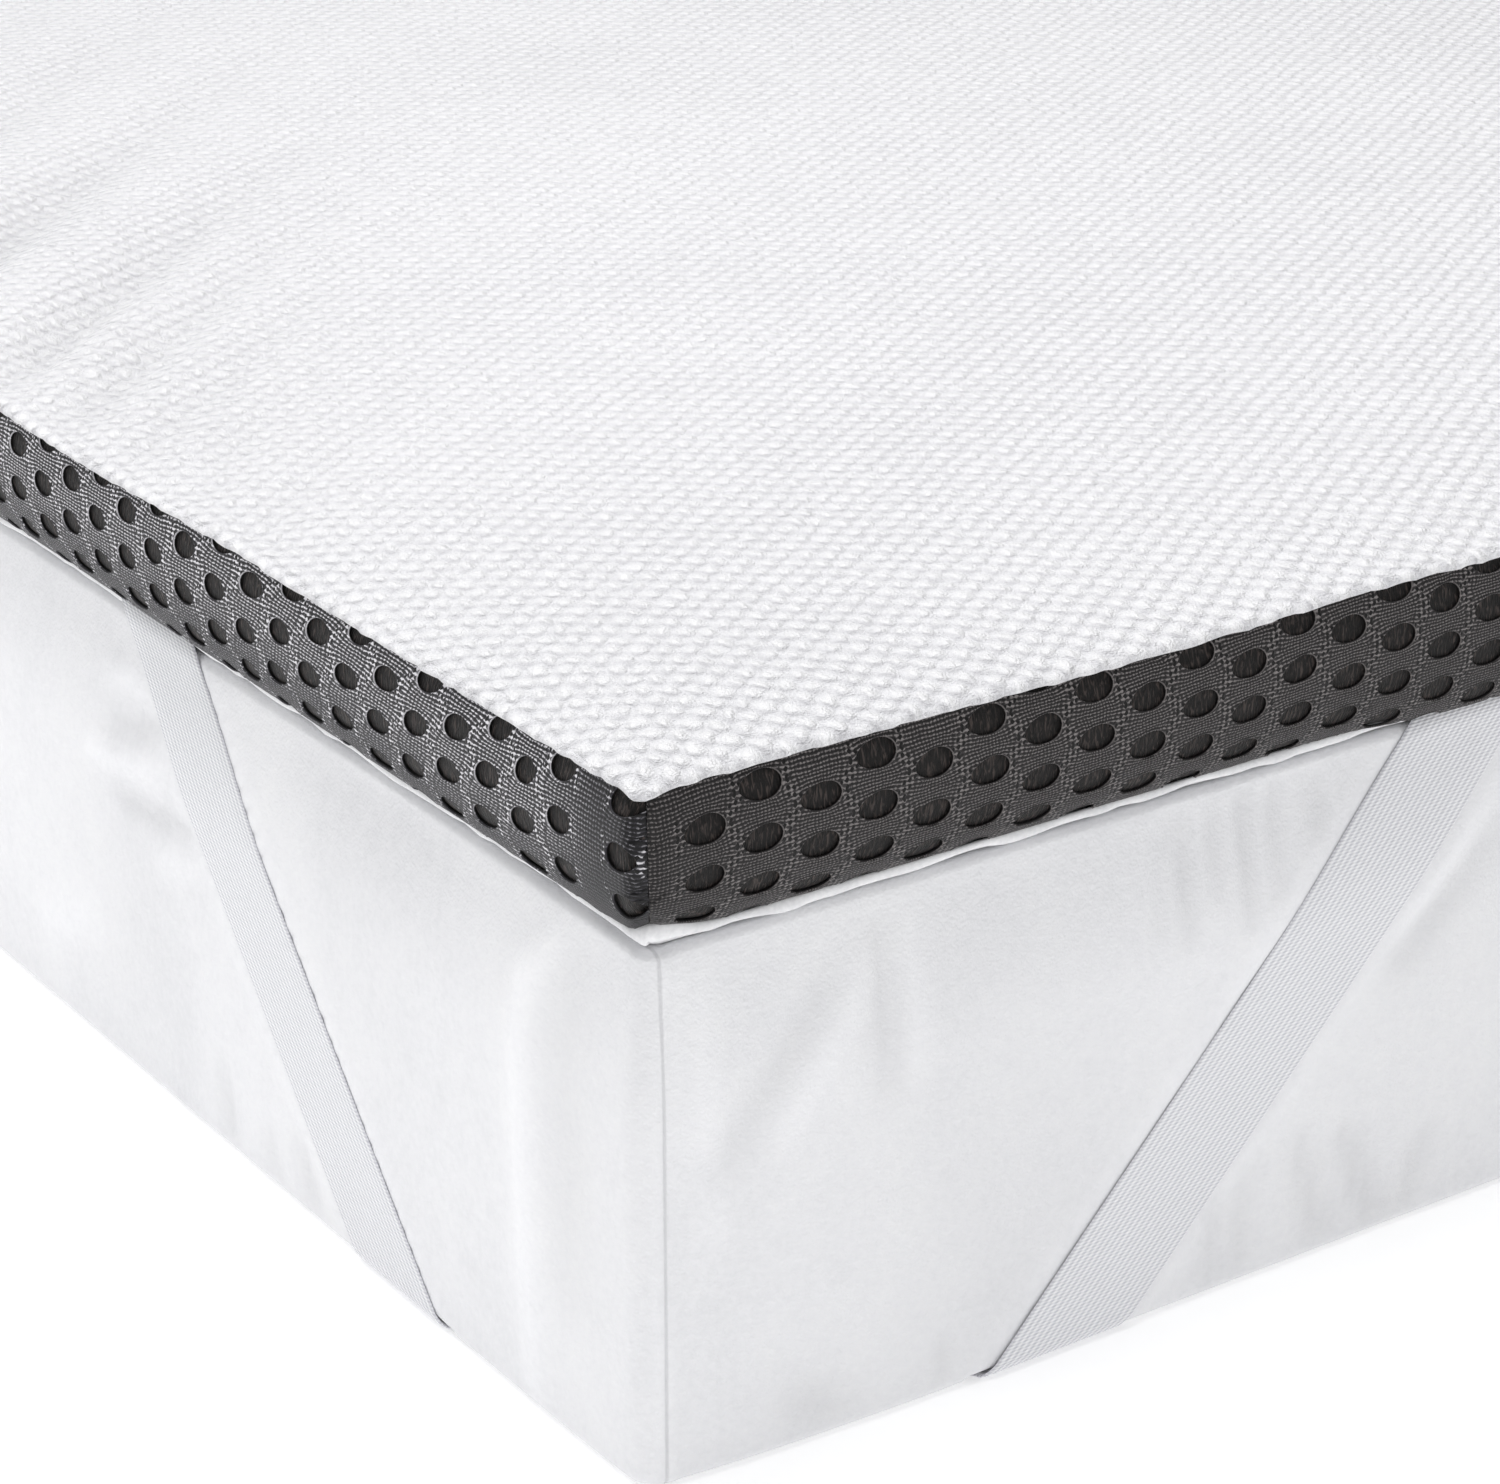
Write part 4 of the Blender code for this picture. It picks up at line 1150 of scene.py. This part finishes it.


# One knit in two copies: the long strips' charcoal_glint has far lighter thread tops, as painted
# glints of the side light, and is a lit copy of the short strips' darker charcoal_knit
charcoal_knit = knit_cloth("charcoal_knit", 0.15, 0.145, 0.92, (
    (0.0, (0.0015, 0.001, 0.001)), (0.36, (0.011, 0.0095, 0.0098)), (0.68, (0.032, 0.0285, 0.029)),
    (1.0, (0.21, 0.193, 0.190)),
))
charcoal_glint = knit_cloth("charcoal_glint", 0.27, 0.170, 0.74, (
    (0.0, (0.002, 0.0018, 0.002)), (0.36, (0.008, 0.0075, 0.009)), (0.66, (0.042, 0.040, 0.048)),
    (1.0, (0.78, 0.765, 0.80)),
))

charcoal_pile, tree = new_cloth("charcoal_pile", 0.6, 0.05)
flow = add_node(tree, "ShaderNodeUVMap", uv_map="flow")
flow = add_node(tree, "ShaderNodeMapping", {"Vector": flow, "Scale": (10.0, 2.2, 1.0)})
strands = noise(flow, 1.0, 2.0, distortion=0.8)
tone = colour_ramp(strands, (
    (0.42, (0.0014, 0.0009, 0.0008)), (0.54, (0.006, 0.0042, 0.0036)), (0.67, (0.052, 0.040, 0.036))
))
finish_cloth(tree, tone, strands, strength=0.9, distance=0.001)


NEAR_TILT, NEAR_TILT_REACH = math.radians(12), 0.250
OFF_GRAIN = ((0.0, 0.11, 0.40, 0.80, 1.40), (0.0, 0.0, 0.0087, 0.014, 0.006))  # along, rise


def no_tilt(u):
    """Level holes."""
    return 0.0


def near_tilt(u):
    """The left strip's holes lean near its front corner."""
    return NEAR_TILT * (1 - float(ease(u / NEAR_TILT_REACH)))


def off_grain(u, v):
    """A strip cut a little off its grain, and stretched in its middle."""
    return u, v - np.interp(u, *OFF_GRAIN) + 0.0008 * np.sin(math.pi * v / 0.058)


def left_grain(u, v):
    """The left strip's knit is drawn towards its front corner, most along its top edge."""
    slide = 0.013 * (1 - ease((u + 0.0035) / 0.0487))
    slide -= (0.012 - 0.36 * v) * ease((u - 0.045) / 0.060) * (1 - ease((u - 0.230) / 0.100))
    return u + slide, v - 0.0045 * ease((u - 0.060) / 0.220)


def none_closed(row, column):
    """Every cell has its hole."""
    return False


def closed_at_seams(row, column):
    """The front strip's first columns have no hole in the top or the corner seam."""
    return (row == -1 and column < 3) or (row % 2 == 0 and column == 0)


def closed_by_corner(row, column):
    """The left strip has no hole in the first column of every second row."""
    return row % 2 == 1 and column == 0


SHORT_LATTICE = {
    "pitch": 0.0451, "spacing": 0.00875, "egg": 0.14, "tilt_at": no_tilt, "closed": none_closed,
}
LONG_LATTICE = {**SHORT_LATTICE, "pitch": 0.0487, "spacing": 0.0092, "egg": 0.12}
FRONT = {**SHORT_LATTICE, "first": (0.0045, 0.0072), "seed": 21, "closed": closed_at_seams}
RIGHT = {**LONG_LATTICE, "first": (0.0060, 0.0060), "seed": 22}
BACK = {**SHORT_LATTICE, "first": (-0.0120, 0.0050), "seed": 23}
LEFT = {
    **LONG_LATTICE, "first": (-0.0035, 0.0038), "seed": 24, "tilt_at": near_tilt,
    "closed": closed_by_corner,
}
STRIPS = (  # name, mirrored, lattice, drift of the grain, cloth
    ("front", False, FRONT, off_grain, charcoal_knit),
    ("right", False, RIGHT, off_grain, charcoal_glint),
    ("back", False, BACK, off_grain, charcoal_knit),
    ("left", True, LEFT, left_grain, charcoal_glint),
)
for side, (name, mirrored, lattice, drift, cloth) in enumerate(STRIPS):
    flat_size = (float(2 * HALF_SIZE[side % 2]) - STRIP_ENDS, FACE_BOTTOM - FACE_TOP)
    open_share = math.pi * HOLE_HALF_LENGTH * HOLE_HALF_WIDTH / lattice["pitch"] / lattice["spacing"]
    face = build_face("mesh_" + name, side, mirrored, lattice, drift, cloth)
    "pile_" + name
    flat_size[0] * flat_size[1] * (1 - open_share)
    pile = build_pile("pile_" + name, side, mirrored, charcoal_pile)
    for layer in (face, pile):
        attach(layer, "root")
        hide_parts("border_" + name)

# ---- the elastic straps ----
# White woven elastic, 45 mm wide, sewn under the border on two sides of each corner. It
# lies flat down the mattress's sides, bends under its bottom edges and crosses its corner.

STRAP_THICKNESS = 0.0012
STRAP_BEND = 0.0050
STRAP_TOP = MATTRESS_HEIGHT - 0.004  # above this it turns in under the seam
SLOPE_STEP = 0.001
STRAP_GAP = 0.0003
STRAP_ENDS = ((0.0112, 0.0004), (0.0128, 0.0030))  # inset and rise, on short and long sides
STRAP_PROFILE = (  # across the width from -1 to 1, and out of the middle layer from -1 to 1
    (-0.955, 1.0), (-0.6, 1.0), (0.0, 1.0), (0.6, 1.0), (0.955, 1.0), (0.992, 0.55), (1.0, 0.0),
    (0.992, -0.55), (0.955, -1.0), (0.6, -1.0), (0.0, -1.0), (-0.6, -1.0), (-0.955, -1.0),
    (-0.992, -0.55), (-1.0, 0.0), (-0.992, 0.55),
)
RIB_PITCH, PICK_PITCH = 0.24, 0.17  # in centimetres, as the weave map is


def strap_leg(on_long):
    """Rows up one leg: inset, height, run along the edge, and the way its face looks."""
    draw, (end_inset, end_rise) = TOP_DRAW[on_long], STRAP_ENDS[on_long]
    half = STRAP_THICKNESS / 2
    face = COVER_INSET - STRAP_GAP - half
    bend_x, bend_z = face + STRAP_BEND, half + STRAP_BEND
    rows = []
    for share in np.linspace(0, 1, 9):
        angle = math.radians(90) * share
        nx, nz = -math.sin(angle), -math.cos(angle)
        height = bend_z + STRAP_BEND * nz
        rows.append((bend_x + STRAP_BEND * nx, height, share * strap_run(height, on_long), nx, nz))
    for height in np.linspace(bend_z, STRAP_TOP, 30)[1:]:
        rise = top_draw(height + SLOPE_STEP) - top_draw(height - SLOPE_STEP)
        slope = draw * rise / (2 * SLOPE_STEP)
        nx, nz = -1 / math.hypot(1, slope), slope / math.hypot(1, slope)
        rows.append((face + draw * top_draw(height), height, strap_run(height, on_long), nx, nz))
    height = BOTTOM_SEAM_Z + end_rise
    rows.append((end_inset, height, strap_run(height, on_long), nx, nz))
    return rows


def build_elastic(name, sign_x, sign_y, material):
    """One strap from seam to seam round its corner, and the length of its middle."""
    half = STRAP_THICKNESS / 2
    half_run = STRAP_HALF_WIDTH / math.sin(math.atan(1 / STRAP_LEANS[0]))
    rings, middle = [], []
    legs = [(True, row) for row in reversed(strap_leg(1))] + [(False, row) for row in strap_leg(0)]
    for on_long, (inset, height, run, nx, nz) in legs:
        ring = []
        for across, out in (*STRAP_PROFILE, (0.0, 0.0)):
            along = STRAP_CORNER_REACH + run + across * half_run
            deep, z = inset + out * half * nx, height + out * half * nz
            in_x, in_y = (deep, along) if on_long else (along, deep)
            ring.append((sign_x * (HALF_WIDTH - in_x), sign_y * (HALF_LENGTH - in_y), z))
        middle.append(ring.pop())
        rings.append(ring)
    around = len(STRAP_PROFILE)
    faces = closed_ring_faces(len(rings), around)
    item = mesh_object(name, np.concatenate(rings), faces, material, 50)
    length = np.concatenate([[0], np.cumsum(np.linalg.norm(np.diff(middle, axis=0), axis=1))])
    layer = item.data.uv_layers.new(name="weave")
    layer.data.foreach_set("uv", np.ravel([
        (length[i // around] * 100, STRAP_PROFILE[i % around][0] * STRAP_HALF_WIDTH * 100)
        for face in faces for i in face
    ]))
    shell = bmesh.new()
    shell.from_mesh(item.data)
    bmesh.ops.holes_fill(shell, edges=[e for e in shell.edges if e.is_boundary], sides=0)
    bmesh.ops.recalc_face_normals(shell, faces=shell.faces)
    shell.to_mesh(item.data)
    shell.free()
    return item, float(length[-1])


elastic, tree = new_cloth("white_elastic_weave", 0.7, 0.1)
weave = add_node(tree, "ShaderNodeUVMap", uv_map="weave")
along, across, _ = weave.parts()
ribs = (across * (2 * math.pi / RIB_PITCH)).maths("SINE")
picks = (along * (2 * math.pi / PICK_PITCH)).maths("SINE")
relief = 0.30 * picks + 0.34 * ribs + 0.4 * noise(weave, 30.0)
tone = colour_ramp(relief * 0.5 + 0.5, ((0.35, (0.61, 0.61, 0.65)), (0.85, (0.94, 0.94, 0.955))))
finish_cloth(tree, tone, relief, strength=0.5, distance=0.0005)

for name, sign_x, sign_y in (
    ("front_left", -1, -1), ("front_right", 1, -1), ("back_right", 1, 1), ("back_left", -1, 1)
):
    strap, strap_length = build_elastic("elastic_" + name, sign_x, sign_y, elastic)
    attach(strap, "root")
    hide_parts("strap_" + name)
